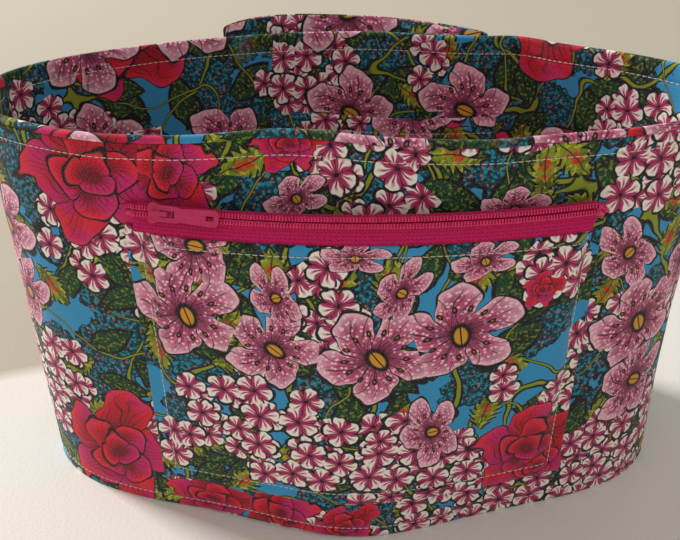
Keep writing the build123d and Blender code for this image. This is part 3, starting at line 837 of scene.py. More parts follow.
def vary(material, shader, base, other, share):
    """Lets the colour drift from base to other."""
    tree = material.node_tree
    node = tree.nodes.new("ShaderNodeMix")
    node.data_type = "RGBA"
    tree.links.new(share.socket, node.inputs[0])
    node.inputs[6].default_value = tuple(base) + (1,)
    node.inputs[7].default_value = tuple(other) + (1,)
    tree.links.new(node.outputs[2], shader.inputs["Base Color"])


def add_bump(material, shader, height, strength, distance):
    node = material.node_tree.nodes.new("ShaderNodeBump")
    node.inputs["Strength"].default_value = strength
    node.inputs["Distance"].default_value = distance
    material.node_tree.links.new(height.socket, node.inputs["Height"])
    material.node_tree.links.new(node.outputs["Normal"], shader.inputs["Normal"])


def shaded(colour, factor):
    return tuple(channel * factor for channel in colour)


def made_once(name):
    """For a finish that several pieces share: makes it the first time it is asked for."""
    def wrap(maker):
        return lambda: bpy.data.materials.get(name) or maker()
    return wrap


@made_once("sewing_thread")
def thread_material():
    colour = bpy.context.scene.bag_colours.thread
    material, shader = plain_material("sewing_thread", colour, 0.62, 0.3, 0.2)
    fibres = object_noise(material, 2600, 2.0)
    vary(material, shader, shaded(colour, 0.72), colour, fibres.above(0.45, 0.4))
    add_bump(material, shader, fibres, 0.4, 0.0002)
    return material


@made_once("wall_foam")
def foam_material():
    colour = bpy.context.scene.bag_colours.foam
    material, shader = plain_material("wall_foam", colour, 0.9, 0.1)
    cells = object_noise(material, 1500, 3.0)
    vary(material, shader, shaded(colour, 0.8), colour, cells.above(0.45, 0.3))
    add_bump(material, shader, cells, 0.5, 0.0003)
    return material


@made_once("zip_tape_cloth")
def tape_material():
    colour = bpy.context.scene.bag_colours.zip
    material = bpy.data.materials.new("zip_tape_cloth")
    material.use_nodes = True
    tree = material.node_tree
    shader = tree.nodes["Principled BSDF"]
    draw = Drawing(tree, bpy.context.scene.bag_colours)
    x, y = draw.split(draw.cloth)
    rib = abs((y * 720).math("FRACT") - 0.5)
    twill = abs(((x + y) * 640).math("FRACT") - 0.5)
    dust = draw.noise(draw.cloth, 900, 2.0)
    # Painted shade: the tape's colour drops to 0.42 in the low parts of the rib and twill, the weave's grooves; the
    # dust noise mixed into this mask is random tone.
    lit_weave_and_dust = (rib + twill + dust * 0.8).above(0.66, 0.6)
    base = draw.mix(shaded(colour, 0.42) + (1,), tuple(colour) + (1,), lit_weave_and_dust)
    tree.links.new(base, shader.inputs["Base Color"])
    bump = draw.node("ShaderNodeBump", {"Height": rib + twill, "Strength": 0.6, "Distance": 0.0003})
    tree.links.new(bump.outputs["Normal"], shader.inputs["Normal"])
    shader.inputs["Roughness"].default_value = 0.7
    shader.inputs["Specular IOR Level"].default_value = 0.2
    return material


@made_once("zip_coil_nylon")
def coil_material():
    colour = bpy.context.scene.bag_colours.zip
    material, shader = plain_material("zip_coil_nylon", colour, 0.32, 0.6)
    drift = object_noise(material, 300, 2.0)
    vary(material, shader, colour, srgb(236, 48, 112), drift.above(0.45, 0.5))
    return material


@made_once("pull_enamel")
def enamel_material():
    colour = bpy.context.scene.bag_colours.zip
    material, shader = plain_material("pull_enamel", colour, 0.26, 0.5)
    wear = object_noise(material, 700, 3.0)
    vary(material, shader, colour, shaded(colour, 0.7), wear.above(0.62, 0.2))
    tree = material.node_tree
    tree.links.new((wear * 0.2 + 0.17).socket, shader.inputs["Roughness"])
    add_bump(material, shader, object_noise(material, 420, 2.0), 0.12, 0.0003)
    shader.inputs["Coat Weight"].default_value = 0.4
    shader.inputs["Coat Roughness"].default_value = 0.15
    return material


# ---- the motifs that show on the front, as (u, v, radius, turn, squash) in mm and degrees

WALL_LILIES = (
    (126, 96, 27, 20, 0.85), (131, 62, 25, 70, 0.8), (112, 132, 21, 130, 0.6), (-157, 135, 25, 40, 0.8),
    (-175, 84, 26, 10, 0.8), (-150, 104, 22, 60, 0.7), (177, 96, 24, 0, 0.8), (150, 120, 20, 80, 0.6),
    (-22, 161, 14, 30, 0.6), (60, 158, 15, 0, 0.6))
WALL_ROSES = (
    (-100, 170, 37, 20, 0.8), (-70, 172, 24, 80, 0.8), (-112, 28, 38, 60, 0.8), (-66, 9, 26, 0, 0.6),
    (-34, 8, 25, 90, 0.8), (-4, 6, 18, 30, 0.7), (-24, 181, 15, 10, 0.7))
WALL_CLUSTERS = (
    (140, 20, 36), (112, 12, 30), (-72, 186, 10), (112, 170, 16), (-135, 66, 18), (6, 172, 20), (30, 12, 16),
    (70, 12, 22), (-160, 50, 24), (-112, 140, 16), (150, 168, 20), (158, 140, 14), (-14, 186, 10))
POCKET_LILIES = (
    (-66, 117, 25, 15, 0.95), (-60, 148, 24, 80, 0.7), (-32, 104, 21, 50, 0.95), (-30, 128, 17, 110, 0.55),
    (8, 102, 25, 35, 0.95), (41, 111, 27, 8, 0.85), (17, 131, 17, 60, 0.55), (32, 60, 22, 100, 0.6),
    (48, 143, 14, 20, 0.6), (0, 146, 14, 0, 0.5))
POCKET_ROSES = ((77, 42, 27, 0, 1.0), (84, 28, 22, 40, 0.8), (72, 128, 9, 0, 1.0))
POCKET_CLUSTERS = (
    (-40, 66, 28), (-24, 50, 28), (6, 50, 26), (-64, 82, 12), (76, 140, 16), (60, 86, 8), (-80, 45, 10),
    (44, 34, 20), (20, 30, 24))


def front_cotton():
    return cotton_material(
        "front_print", 0.31, WALL_LILIES, WALL_ROSES, WALL_CLUSTERS, greenery=0.46, phlox_amount=0.69)


def pocket_cotton():
    return cotton_material(
        "pocket_print", 0.83, POCKET_LILIES, POCKET_ROSES, POCKET_CLUSTERS, greenery=0.52, phlox_amount=0.72)


def back_cotton():
    return cotton_material("back_print", 1.37)


def lining_cotton():
    return cotton_material("lining_print", 2.11, greenery=0.42, phlox_amount=0.62)


# ---------------------------------------------------------------- pieces

def wall_layers(sizes):
    return sizes.outer_cotton + sizes.foam + sizes.lining


def finish_sheet(piece, slot, material, node, flat, held, rests_on):
    """A piece of cloth: its finish and its node; the size it was cut to and what it lies on are not used."""
    finish_piece(piece, slot, material, [node])


def finish_foam(piece, node):
    finish_piece(piece, "foam", foam_material(), [node])


def side_thickness(share, width):
    """How full a panel is near its two side edges, which are rounded: 0 to 1."""
    return math.sqrt(min(1.0, min(share, 1 - share) * width / (0.8 * MM)))


class BagOperator(bpy.types.Operator):
    """Makes one group of the bag's pieces."""
    bl_options = {"REGISTER", "UNDO"}

    def execute(self, context):
        self.sizes = context.scene.bag_sizes
        self.walls = Walls(self.sizes)
        self.make(context)
        return {"FINISHED"}


class BAG_OT_walls(BagOperator):
    """Make the outer panels, the foam and the lining of the walls"""
    bl_idname = "bag.walls"
    bl_label = "Walls"

    def make(self, context):
        for half, side in enumerate(("front", "back")):
            self.outer_panel(half, side)
            self.foam(half, side)
            self.lining(half, side)

    def panel_point(self, half, seam_dip=0.5):
        walls, length = self.walls, self.walls.lengths[half]

        def point(share, z, out):
            dip = seam_dip * MM * bell(min(share, 1 - share) * length / MM, 1.6)
            return walls.point(half + share, z, out - dip)
        return point

    def outer_panel(self, half, side):
        sizes = self.sizes
        lines = (sizes.base_stitch, BAG_HEIGHT - sizes.rim_stitch)
        top = BAG_HEIGHT - sizes.rim_roll
        heights = levels(0.0004, top - 0.0004, 0.0045, *lines)
        thick = sizes.outer_cotton

        def section(share):
            outside = [(z, groove(z, *lines)) for z in heights]
            inside = [(z, -thick) for z in heights]
            return [(0, -thick * 0.4)] + outside + [(top, -thick * 0.4)] + inside[::-1]

        length = self.walls.lengths[half]
        piece = sweep(
            f"{side}_outer", self.panel_point(half), section, edged(110, length), lambda s: (s - 0.5) * length)
        finish_sheet(
            piece, "printed_cotton", back_cotton() if half else front_cotton(), f"{side}_outer_panel",
            (length, BAG_HEIGHT), "stretched", f"{side}_wall_foam")

    def foam(self, half, side):
        sizes = self.sizes
        outer, inner = -sizes.outer_cotton - 0.02 * MM, -sizes.outer_cotton - sizes.foam + 0.02 * MM
        heights = levels(sizes.outer_cotton, BAG_HEIGHT - 2 * MM, 0.006)

        def section(share):
            return [(z, outer) for z in heights] + [(z, inner) for z in reversed(heights)]

        piece = sweep(f"{side}_foam", self.panel_point(half), section, even(80), lambda s: s)
        finish_foam(piece, f"{side}_wall_foam")

    def lining(self, half, side):
        sizes = self.sizes
        wall, thick = wall_layers(sizes), sizes.lining
        line = BAG_HEIGHT - sizes.rim_stitch
        heights = levels(sizes.outer_cotton, BAG_HEIGHT - wall / 2, 0.0045, line)
        turns = [math.pi * (1 - i / 8) for i in range(1, 9)]
        edge = BAG_HEIGHT - sizes.rim_roll

        def roll(radius):
            middle = BAG_HEIGHT - wall / 2
            return [(middle + radius * math.sin(a), -wall / 2 + radius * math.cos(a)) for a in turns]

        def section(share):
            inside = [(z, -wall - groove(z, line, depth=0.3)) for z in heights]
            over = roll(wall / 2)
            under = roll(wall / 2 - thick)[::-1]
            tuck = [(edge + 0.3 * MM, 0.06 * MM), (edge, -0.25 * MM), (edge + 0.2 * MM, -thick)]
            behind = [(z, -wall + thick) for z in reversed(heights)]
            return inside + over + tuck + under[:-1] + behind

        length = self.walls.lengths[half]
        piece = sweep(
            f"{side}_lining", self.panel_point(half, 0.3), section, edged(110, length),
            lambda s: (s - 0.5) * length)
        finish_sheet(
            piece, "lining_cotton", lining_cotton(), f"{side}_lining_panel",
            (length, BAG_HEIGHT + ROLL_ALLOWANCE), "stretched", f"{side}_wall_foam")


class BAG_OT_base(BagOperator):
    """Make the three layers of the oval base"""
    bl_idname = "bag.base"
    bl_label = "Base"

    def plate(self, name, low, high, inset):
        """An oval plate with rounded edges."""
        walls = self.walls
        places = [i / 90 for i in range(180)]
        thick = high - low
        middle = Vector((0, SEAM_Y - 0.014, 0))
        profile = [(share, low) for share in (0.06, 0.25, 0.5, 0.75, 0.93)]
        profile += [(0.995, low + thick * 0.1), (1.0, low + thick * 0.5), (0.995, high - thick * 0.1)]
        profile += [(share, high) for share in (0.93, 0.75, 0.5, 0.25, 0.06)]
        verts, faces = [], []
        for share, z in profile:
            for place in places:
                spot = middle.lerp(walls.plain(place, (low + high) / 2, -inset), share)
                verts.append((spot.x, spot.y, z))
        count = len(places)
        for i in range(len(profile) - 1):
            for j in range(count):
                k = (j + 1) % count
                faces.append((i * count + j, i * count + k, (i + 1) * count + k, (i + 1) * count + j))
        faces.append(tuple(reversed(range(count))))
        faces.append(tuple((len(profile) - 1) * count + j for j in range(count)))
        uvs = [[(verts[index][0], verts[index][1]) for index in face] for face in faces]
        return make_piece(name, verts, faces, uvs)

    def make(self, context):
        sizes = self.sizes
        cotton, foam = sizes.outer_cotton, sizes.foam
        wall = wall_layers(sizes)
        area = math.pi * sizes.base_length / 2 * (sizes.base_front_depth + sizes.base_back_depth) / 2
        flat = (sizes.base_length, area / sizes.base_length)
        outer = self.plate("base_outer", 0.0, cotton, cotton + 0.3 * MM)
        finish_sheet(outer, "printed_cotton", back_cotton(), "base_outer_panel", flat, "laid", "base_foam")
        pad = self.plate("base_pad", cotton, cotton + foam, wall + 0.3 * MM)
        finish_foam(pad, "base_foam")
        lining = self.plate("base_lining", cotton + foam, wall, wall + 0.3 * MM)
        finish_sheet(lining, "lining_cotton", lining_cotton(), "base_lining_panel", flat, "laid", "base_foam")


class Zip:
    """Places round the zip: along it from its middle, up its leaning tape, and out from the tape."""

    def __init__(self, sizes):
        self.sizes = sizes
        self.axis_x, self.axis_y, self.z = ZIP_JOINT["pos_m"]

    def frame(self, along):
        sizes = self.sizes
        run = max(-sizes.straight, min(sizes.straight - RIGHT_BEND_LEAD, along))
        past = along - run
        turn = run / sizes.bend_radius
        middle = Vector((
            self.axis_x + sizes.bend_radius * math.sin(turn),
            self.axis_y - sizes.bend_radius * math.cos(turn), self.z))
        tangent = Vector((math.cos(turn), math.sin(turn), 0))
        away = Vector((math.sin(turn), -math.cos(turn), 0))
        up = away * -math.sin(sizes.lean) + Vector((0, 0, math.cos(sizes.lean)))
        out = away * math.cos(sizes.lean) + Vector((0, 0, math.sin(sizes.lean)))
        if past:
            side = math.copysign(1, past)
            bend = 7 * MM if side < 0 else 7.5 * MM
            angle = abs(past) / bend
            middle += tangent * side * bend * math.sin(angle) - up * bend * (1 - math.cos(angle))
            middle -= away * 0.6 * max(0.0, abs(along) - sizes.straight)
            new_up = up * math.cos(angle) + tangent * side * math.sin(angle)
            tangent = tangent * math.cos(angle) - up * side * math.sin(angle)
            up = new_up
        return middle, tangent, up, out

    def point(self, along, up, out):
        middle, _, up_way, out_way = self.frame(along)
        return middle + up_way * up + out_way * out

    def fold_point(self, turn, out):
        """On the pocket's folded edge, round the zip's axis by an angle."""
        sizes = self.sizes
        radius = sizes.bend_radius + sizes.tape_showing * math.sin(sizes.lean) + sizes.tape + out
        z = self.z - sizes.tape_showing * math.cos(sizes.lean)
        return Vector((self.axis_x + radius * math.sin(turn), self.axis_y - radius * math.cos(turn), z))


class PocketFront:
    """The zipped pocket's face: sewn to the wall round three sides, and standing off it along the zip."""

    def __init__(self, walls, zip_sizes):
        self.walls, self.zip = walls, Zip(zip_sizes)
        self.low, self.high = POCKET_BOX[0][2], POCKET_BOX[1][2]
        self.left, self.right = POCKET_BOX[0][0], POCKET_BOX[1][0]
        self.width = self.right - self.left
        self.start = walls.place_at(self.left, self.low)
        self.end = walls.place_at(self.right, self.low)

    def place(self, share):
        return self.start + (self.end - self.start) * share

    def along(self, share):
        return self.walls.along(self.place(share))

    def normal(self, share, z):
        return self.walls.normal(self.place(share), z)

    def point(self, share, z, out):
        """out is 0 at the back of the pocket's lining and grows towards the viewer."""
        place = self.place(share)
        rise = (z - self.low) / (self.high - self.low)
        sewn = self.walls.point(place, z, out + 0.15 * MM)
        turn = (self.left + self.width * share - self.zip.axis_x) / self.zip.sizes.bend_radius
        top = self.zip.fold_point(turn, out - 0.9 * MM)
        bottom = self.walls.point(place, self.low, out + 0.15 * MM)
        hung = bottom.lerp(top, rise)
        from_side = min(share, 1 - share) * self.width
        free = smooth((from_side - 4 * MM) / (9 * MM))
        spot = sewn.lerp(hung, free)
        slack = 1.1 * MM * noise.noise(Vector((spot.x * 30, spot.z * 26, 2.2))) * free
        slack += 0.9 * MM * math.sin(math.pi * min(1.0, rise)) * free
        slack *= smooth((self.high - z) / (14 * MM))
        return spot + self.walls.normal(place, z) * slack


class BAG_OT_zip_pocket(BagOperator):
    """Make the front pocket's face, lining and topstitching"""
    bl_idname = "bag.zip_pocket"
    bl_label = "Zipped pocket"

    def make(self, context):
        pocket = PocketFront(self.walls, context.scene.bag_zip)
        stitches = context.scene.bag_stitches
        inset, thick, lining = POCKET_STITCH_INSET, POCKET_COTTON, POCKET_LINING
        low, high = pocket.low + inset, pocket.high - POCKET_TOP_STITCH_INSET
        heights = levels(pocket.low + 0.5 * MM, pocket.high - 0.5 * MM, 0.0045, low, high)

        def puckered(share, z):
            side = min(share, 1 - share) * pocket.width
            dip = groove(z, low, high, depth=0.5) if side > inset else 0
            if low < z < high:
                dip = min(dip, -0.5 * MM * bell((side - inset) / MM, 1.1))
            return dip

        def front_section(share):
            full = side_thickness(share, pocket.width)
            back, face = lining, lining + thick * full
            outside = [(z, face + puckered(share, z) * full) for z in heights]
            inside = [(z, back) for z in reversed(heights)]
            bottom, top = (pocket.low, (back + face) / 2), (pocket.high, (back + face) / 2)
            return [bottom] + outside + [top] + inside

        shares = edged(84, pocket.width)
        finish = dict(flat=(pocket.width, pocket.high - pocket.low), held="hung", rests_on="front_outer_panel")
        front = sweep("pocket_face", pocket.point, front_section, shares, pocket.along, v_start=pocket.low)
        finish_sheet(front, "printed_cotton", pocket_cotton(), "zip_pocket_front_panel", **finish)

        inner_heights = levels(pocket.low + 1.5 * MM, pocket.high - 8 * MM, 0.006)

        def lining_section(share):
            return [(z, lining - 0.05 * MM) for z in inner_heights] + [(z, 0) for z in reversed(inner_heights)]

        inside = sweep(
            "pocket_lining", lambda s, z, out: pocket.point(0.01 + 0.98 * s, z, out), lining_section, even(70),
            pocket.along)
        finish_sheet(inside, "lining_cotton", lining_cotton(), "zip_pocket_lining_panel", **finish)

        side = inset / pocket.width

        def on_face(share, z):
            return pocket.point(share, z, lining + thick - 0.45 * MM), pocket.normal(share, z)

        across = [side + (1 - 2 * side) * i / 160 for i in range(161)]
        up = [low + (high - low) * i / 120 for i in range(121)]
        make_stitches("pocket_topstitch", [
            [on_face(share, high) for share in across], [on_face(share, low) for share in across],
            [on_face(side, z) for z in up], [on_face(1 - side, z) for z in up],
        ], ["zip_pocket_topstitch"], stitches)


# The upper tape's fold, up and outwards from the chain, in mm: up over the edge and down behind it
UPPER_TAPE_FOLD = (
    (0.4, 0), (1.6, 0), (2.5, -0.1), (3.0, -0.7), (2.9, -2.0), (1.6, -3.4), (-1.5, -4.2), (-5, -4.6))


class BAG_OT_zip(BagOperator):
    """Make the zip's tapes, coils and bar tacks, and enamel its slider and pull"""
    bl_idname = "bag.zip"
    bl_label = "Zip"

    def tape(self, name, path, reach, node):
        """A tape whose section is a path of (up, out), given its thickness, along the whole zip."""
        run, thick = self.zip, self.zip_sizes.tape
        count = 150
        alongs = [reach * (2 * i / count - 1) for i in range(count + 1)]
        ring_size = len(path) * 2
        verts, faces, uvs = [], [], []
        measure = [0.0]
        for a, b in zip(path, path[1:]):
            measure.append(measure[-1] + math.dist(a, b))
        show, lean = self.zip_sizes.tape_showing, math.cos(self.zip_sizes.lean)
        for along in alongs:
            hidden = 4 * MM * (1 - smooth((abs(along) - self.zip_sizes.straight + 13 * MM) / (8 * MM)))
            for side in (1, -1):
                for up, out in path if side == 1 else path[::-1]:
                    lift = out + side * thick / 2
                    spot, chain = run.point(along, up, lift), run.point(along, 0, lift)
                    floor = min(run.z - (show + hidden) * lean, chain.z - 1.2 * MM)
                    if spot.z < floor:
                        spot = chain.lerp(spot, (chain.z - floor) / (chain.z - spot.z))
                    verts.append(spot)
        around = measure + measure[::-1]
        for i in range(count):
            for j in range(ring_size):
                k = (j + 1) % ring_size
                a, b = i * ring_size, (i + 1) * ring_size
                faces.append((a + j, b + j, b + k, a + k))
                u0, u1, v0, v1 = alongs[i], alongs[i + 1], around[j], around[k]
                uvs.append(((u0, v0), (u1, v0), (u1, v1), (u0, v1)))
        for first, order in ((0, range(ring_size)), (count * ring_size, reversed(range(ring_size)))):
            face = tuple(first + j for j in order)
            faces.append(face)
            uvs.append([(alongs[first // ring_size], around[index - first]) for index in face])
        piece = make_piece(name, verts, faces, uvs)
        finish_sheet(
            piece, "zip_tape", tape_material(), node, (2 * reach, measure[-1]), "laid", "front_outer_panel")

    def coil(self, name, side, reach, node):
        """One row of the nylon coil: a flattened helix whose heads interlock with the other row's."""
        sizes, run = self.zip_sizes, self.zip
        turns = round(2 * reach / sizes.pitch)
        steps, wire = 10, 0.36 * MM
        inner, outer = 0.34 * MM, 0.30 * MM + sizes.coil_width
        low, high = sizes.tape / 2 + wire, sizes.tape / 2 + sizes.coil_height - wire * 0.6
        path = []
        for i in range(turns * steps + 1):
            phase = math.tau * (i / steps + (0.25 if side > 0 else 0.75))
            along = -reach + 2 * reach * i / (turns * steps) + 0.18 * sizes.pitch * math.sin(2 * phase)
            across = (inner + outer) / 2 + (outer - inner) / 2 * math.cos(phase)
            height = (low + high) / 2 + (high - low) / 2 * math.sin(phase)
            path.append(run.point(along, side * across, height))
        verts = []
        for i, spot in enumerate(path):
            ahead = (path[min(i + 1, len(path) - 1)] - path[max(i - 1, 0)]).normalized()
            _, tangent, _, _ = run.frame(-reach + 2 * reach * i / (turns * steps))
            first = ahead.cross(tangent).normalized()
            verts += thread_ring(spot, first, ahead.cross(first).normalized(), wire)
        piece = make_piece(name, verts, thread_faces(0, len(path)))
        finish_piece(piece, "zip_coil", coil_material(), [node])

    def make(self, context):
        self.zip_sizes = context.scene.bag_zip
        self.zip = Zip(self.zip_sizes)
        reach = self.zip_sizes.straight + 5.5 * MM
        show = self.zip_sizes.tape_showing
        lower = [
            (-0.4 * MM, 0), (-2.2 * MM, 0), (-4 * MM, 0.05 * MM), (-6 * MM, 0), (-show, -0.1 * MM),
            (-show - 4 * MM, -1.9 * MM)]
        self.tape("zip_tape_low", lower[::-1], reach, "zip_tape_lower")
        upper = [(up * MM, out * MM) for up, out in UPPER_TAPE_FOLD]
        self.tape("zip_tape_high", upper, reach - 2 * MM, "zip_tape_upper")
        self.coil("zip_coil_low", -1, reach, "zip_coil_lower")
        self.coil("zip_coil_high", 1, reach, "zip_coil_upper")
        rows = []
        for along in (-self.zip_sizes.straight, self.zip_sizes.straight):
            for offset in (-0.5, 0.0, 0.5):
                middle, tangent, up, out = self.zip.frame(along + offset * MM)
                over = middle + out * (self.zip_sizes.tape / 2 + self.zip_sizes.coil_height + 0.1 * MM)
                rows.append([(over + up * k * 0.6 * MM, out) for k in range(-5, 6)])
        make_stitches("zip_bar_tacks", rows, ["zip_end_tacks"], context.scene.bag_stitches,
                      coil_material())
        for node in ("zip_slider", "zip_pull"):
            part = frame["nodes"][node]
            part.data.materials.clear()
            part.data.materials.append(enamel_material())


class BAG_OT_slip_pocket(BagOperator):
    """Make the open pocket on the back"""
    bl_idname = "bag.slip_pocket"
    bl_label = "Back slip pocket"

    def make(self, context):
        walls = self.walls
        low, high = SLIP_BOX[0][2], SLIP_BOX[1][2]
        start = walls.place_at(SLIP_BOX[1][0], high, back=True)
        end = walls.place_at(SLIP_BOX[0][0], high, back=True)
        width = (end - start) * walls.lengths[1]
        bulge = SLIP_BOX[1][1] - BACK_BOX[1][1] - 1.7 * MM

        def point(share, z, out):
            left_to_right = 1 - share
            swell = math.sin(math.pi * left_to_right ** 0.5) ** 0.7 if 0 < left_to_right < 1 else 0
            rise = (z - low) / (high - low)
            stand = (bulge + 5 * MM * smooth(left_to_right * 6)) * swell * rise ** 1.15
            stand += 0.8 * MM * noise.noise(Vector((share * 5, z * 22, 9.1))) * swell
            lift = Vector((0, 0, 6 * MM * swell ** 0.3 * max(0.0, rise) ** 3))
            return walls.point(start + (end - start) * share, z, out + 0.4 * MM + stand) + lift

        line = high - self.sizes.rim_stitch
        heights = levels(low + 0.5 * MM, high - 0.5 * MM, 0.005, line)
        thick = POCKET_COTTON

        def face_section(share):
            full = side_thickness(share, width)
            outside = [(z, 0.5 * MM + thick * full + groove(z, line)) for z in heights]
            inside = [(z, 0.5 * MM) for z in reversed(heights)]
            return [(low, 0.7 * MM)] + outside + [(high, 0.8 * MM)] + inside

        face = sweep(
            "slip_face", point, face_section, edged(60, width),
            lambda s: walls.along(start + (end - start) * s), v_start=low)
        finish = dict(flat=(width, high - low), held="gathered", rests_on="back_outer_panel")
        finish_sheet(face, "printed_cotton", cotton_material("slip_print", 3.3), "back_slip_pocket_panel", **finish)

        def lining_section(share):
            return [(z, 0.45 * MM) for z in heights] + [(z, 0) for z in reversed(heights)]

        lining = sweep(
            "slip_lining", point, lining_section, even(60), lambda s: walls.along(start + (end - start) * s))
        finish_sheet(lining, "lining_cotton", lining_cotton(), "back_slip_pocket_lining", **finish)
        row = []
        for i in range(121):
            share = 0.01 + 0.98 * i / 120
            row.append((point(share, line, 0.95 * MM), walls.normal(start + (end - start) * share, line)))
        make_stitches("slip_topstitch", [row], [], context.scene.bag_stitches)


class BAG_OT_inner_pockets(BagOperator):
    """Make the three pockets sewn to the lining, with their hems"""
    bl_idname = "bag.inner_pockets"
    bl_label = "Inner pockets"

    def pocket(self, name, start, end, low, high, gap, node, lift):
        walls, wall = self.walls, wall_layers(self.sizes)
        width = (end - start) * self.walls.lengths[1]
        line = high - self.sizes.rim_stitch
        heights = levels(low + 0.5 * MM, high - 0.5 * MM, 0.006, line)
        sewn = wall + 0.15 * MM

        def point(share, z, out):
            rise = (z - low) / (high - low)
            stand = gap(share) * rise ** 1.2
            stand += 0.6 * MM * noise.noise(Vector((share * 6 + lift, z * 25, 1.3))) * min(1, stand / MM)
            return walls.point(start + (end - start) * share, z, -sewn - stand - out)

        def section(share):
            full = side_thickness(share, width)
            inside = [(z, 1.2 * MM * full + groove(z, line)) for z in heights]
            against = [(z, 0.0) for z in reversed(heights)]
            return [(low, 0.4 * MM)] + inside + [(high, 0.6 * MM)] + against

        piece = sweep(
            name, point, section, edged(50, width), lambda s: (s - 0.5) * width, v_start=low)
        finish_sheet(
            piece, "printed_cotton", cotton_material(f"{name}_print", lift, phlox_amount=0.52), node,
            (width, high - low), "gathered", "back_lining_panel")
        row = []
        for i in range(101):
            share = 0.01 + 0.98 * i / 100
            row.append((point(share, line, 0.9 * MM), -walls.normal(start + (end - start) * share, line)))
        return row, point

    def make(self, context):
        walls = self.walls
        low, high = INNER_BOX[0][2], INNER_BOX[1][2]
        start = walls.place_at(INNER_BOX[1][0], high, back=True) - 0.005
        end = walls.place_at(INNER_BOX[0][0], high, back=True) + 0.005
        divider_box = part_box("back_inner_pocket_divider_stitch")
        divider = (walls.place_at(divider_box[0][0], high, back=True) - start) / (end - start)
        bulge = 8 * MM

        def back_gap(share):
            if share < divider:
                return bulge * math.sin(math.pi * share / divider) ** 2
            narrow = (1 - divider) / divider
            return bulge * narrow * math.sin(math.pi * (share - divider) / (1 - divider)) ** 2

        rows = []
        row, point = self.pocket(
            "inner_back", start, end, low, high, back_gap, "back_inner_pocket_panel", 4.7)
        rows.append(row)
        place = start + (end - start) * divider
        down = [
            (point(divider, low + (high - low) * (0.03 + 0.94 * i / 60), 1.1 * MM), -walls.normal(place, high))
            for i in range(61)]
        rows.append(down)
        for name, side_start, side_end, node in (
                ("inner_right", 0.80, 1.22, "right_inner_pocket_panel"),
                ("inner_left", 1.78, 2.20, "left_inner_pocket_panel")):
            row, _ = self.pocket(
                name, side_start, side_end, low, high, lambda s: 14 * MM * math.sin(math.pi * s) ** 2, node,
                5.9 + side_start)
            rows.append(row)
        make_stitches(
            "inner_pocket_stitches", rows, ["back_inner_pocket_divider_stitch"], context.scene.bag_stitches)


class BAG_OT_topstitching(BagOperator):
    """Sew the topstitching round the rim and the base"""
    bl_idname = "bag.topstitching"
    bl_label = "Topstitching"

    def make(self, context):
        walls, sizes = self.walls, self.sizes
        wall = wall_layers(sizes)
        stitches = context.scene.bag_stitches
        for half, side in enumerate(("front", "back")):
            shares = [0.004 + 0.992 * i / 240 for i in range(241)]

            def row(z, out, facing):
                places = [half + share for share in shares]
                return [(walls.point(place, z, out), walls.normal(place, z) * facing) for place in places]

            rim = BAG_HEIGHT - sizes.rim_stitch
            for name, node, path in (
                    ("rim_stitches_outside", "rim_topstitch_outside", row(rim, -0.25 * MM, 1)),
                    ("rim_stitches_inside", "rim_topstitch_inside", row(rim, -wall + 0.2 * MM, -1)),
                    ("base_stitches", "base_topstitch", row(sizes.base_stitch, -0.25 * MM, 1))):
                make_stitches(f"{side}_{name}", [path], [f"{side}_{node}"], stitches)


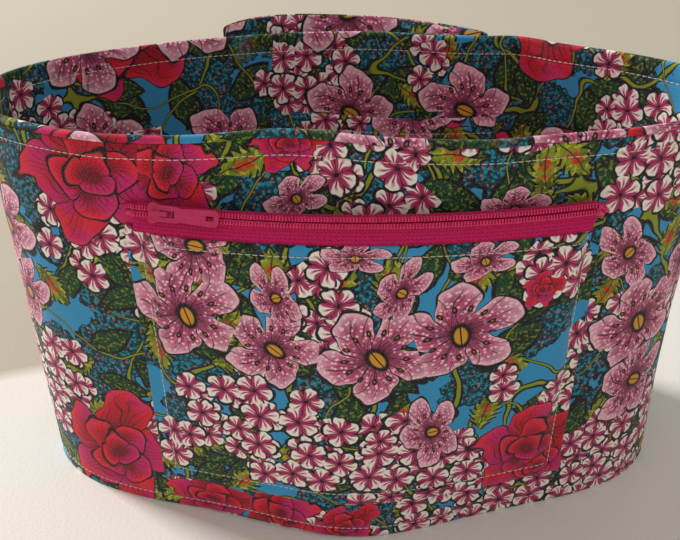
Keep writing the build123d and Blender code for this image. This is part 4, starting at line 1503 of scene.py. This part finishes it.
class BAG_OT_studio(bpy.types.Operator):
    """Set the table, whose far part is painted darker as shade, the lights and the camera"""
    bl_idname = "bag.studio"
    bl_label = "Studio"

    def execute(self, context):
        self.table(context.scene.bag_colours)
        self.light("window", (-3.90, 2.13, 2.75), 1.1, 295, (1.0, 0.985, 0.96))
        self.light("room", (0.3, -1.5, 1.5), 2.0, 3, (1.0, 0.98, 0.96))
        world = bpy.data.worlds.new("room")
        world.use_nodes = True
        world.node_tree.nodes["Background"].inputs["Color"].default_value = (1.0, 0.955, 0.90, 1)
        world.node_tree.nodes["Background"].inputs["Strength"].default_value = 0.46
        context.scene.world = world
        camera = bpy.data.cameras.new("camera")
        camera.lens = 41.03
        camera.sensor_width = 36
        camera.clip_start = 0.01
        camera.dof.use_dof = False
        holder = bpy.data.objects.new("camera", camera)
        context.scene.collection.objects.link(holder)
        yaw, pitch, roll = -0.004, 0.553, -0.005
        ahead = Vector((math.sin(yaw) * math.cos(pitch), math.cos(yaw) * math.cos(pitch), -math.sin(pitch)))
        right = Vector((math.cos(yaw), -math.sin(yaw), 0))
        up = right.cross(ahead)
        rolled_right = right * math.cos(roll) + up * math.sin(roll)
        rolled_up = up * math.cos(roll) - right * math.sin(roll)
        turn = Matrix((rolled_right, rolled_up, -ahead)).transposed()
        holder.matrix_world = Matrix.Translation((-0.0046, -0.3263, 0.289)) @ turn.to_4x4()
        context.scene.camera = holder
        context.scene.view_settings.view_transform = "Standard"
        return {"FINISHED"}

    def table(self, colours):
        """A wide surface: pale cloth in front, and beyond a soft slanting line a darker colour for the surface
        behind, whose darkness is painted shade.
        """
        material, shader = plain_material("table_cloth", colours.table, 0.8, 0.15, 0.1)
        tree = material.node_tree
        place = tree.nodes.new("ShaderNodeTexCoord")
        parts = tree.nodes.new("ShaderNodeSeparateXYZ")
        tree.links.new(place.outputs["Object"], parts.inputs["Vector"])
        x, y = Ink(tree, parts.outputs["X"]), Ink(tree, parts.outputs["Y"])
        # Painted shade: beyond this slanting line the table takes the darker colour of the unlit surface behind the
        # bag.
        beyond = (y - x * 0.34).above(0.094, 0.012)
        vary(material, shader, colours.table, colours.backdrop, beyond)
        add_bump(material, shader, object_noise(material, 600, 4.0), 0.25, 0.0008)
        mesh = bpy.data.meshes.new("table")
        mesh.from_pydata([(-3, -3, 0), (3, -3, 0), (3, 3, 0), (-3, 3, 0)], [], [(0, 1, 2, 3)])
        mesh.materials.append(material)
        piece = bpy.data.objects.new("table", mesh)
        bpy.context.scene.collection.objects.link(piece)
        return piece

    def light(self, name, place, size, power, colour):
        lamp = bpy.data.lights.new(name, "AREA")
        lamp.size, lamp.energy, lamp.color = size, power, colour
        holder = bpy.data.objects.new(name, lamp)
        holder.location = place
        holder.rotation_euler = (Vector((0, 0, 0.08)) - Vector(place)).to_track_quat("-Z", "Y").to_euler()
        bpy.context.scene.collection.objects.link(holder)


OPERATORS = (
    BAG_OT_walls, BAG_OT_base, BAG_OT_zip_pocket, BAG_OT_zip, BAG_OT_slip_pocket, BAG_OT_inner_pockets,
    BAG_OT_topstitching, BAG_OT_studio)


class BAG_PT_panel(bpy.types.Panel):
    """The steps that sew the bag, in order"""
    bl_idname = "BAG_PT_panel"
    bl_label = "Knitting Bag"
    bl_space_type = "VIEW_3D"
    bl_region_type = "UI"
    bl_category = "Knitting Bag"

    def draw(self, context):
        for operator in OPERATORS:
            self.layout.operator(operator.bl_idname)
        for group in ("bag_sizes", "bag_zip", "bag_stitches", "bag_colours"):
            box = self.layout.box()
            settings = getattr(context.scene, group)
            for name in settings.__annotations__:
                box.prop(settings, name)


GROUPS = {"bag_sizes": BagSizes, "bag_zip": ZipSizes, "bag_stitches": StitchSizes, "bag_colours": PrintColours}


def register():
    for name, group in GROUPS.items():
        bpy.utils.register_class(group)
        setattr(bpy.types.Scene, name, PointerProperty(type=group))
    for kind in OPERATORS + (BAG_PT_panel,):
        bpy.utils.register_class(kind)


def unregister():
    for kind in reversed(OPERATORS + (BAG_PT_panel,)):
        bpy.utils.unregister_class(kind)
    for name, group in GROUPS.items():
        delattr(bpy.types.Scene, name)
        bpy.utils.unregister_class(group)


def main():
    register()
    for operator in OPERATORS:
        group, name = operator.bl_idname.split(".")
        getattr(getattr(bpy.ops, group), name)()


if __name__ == "__main__":
    main()
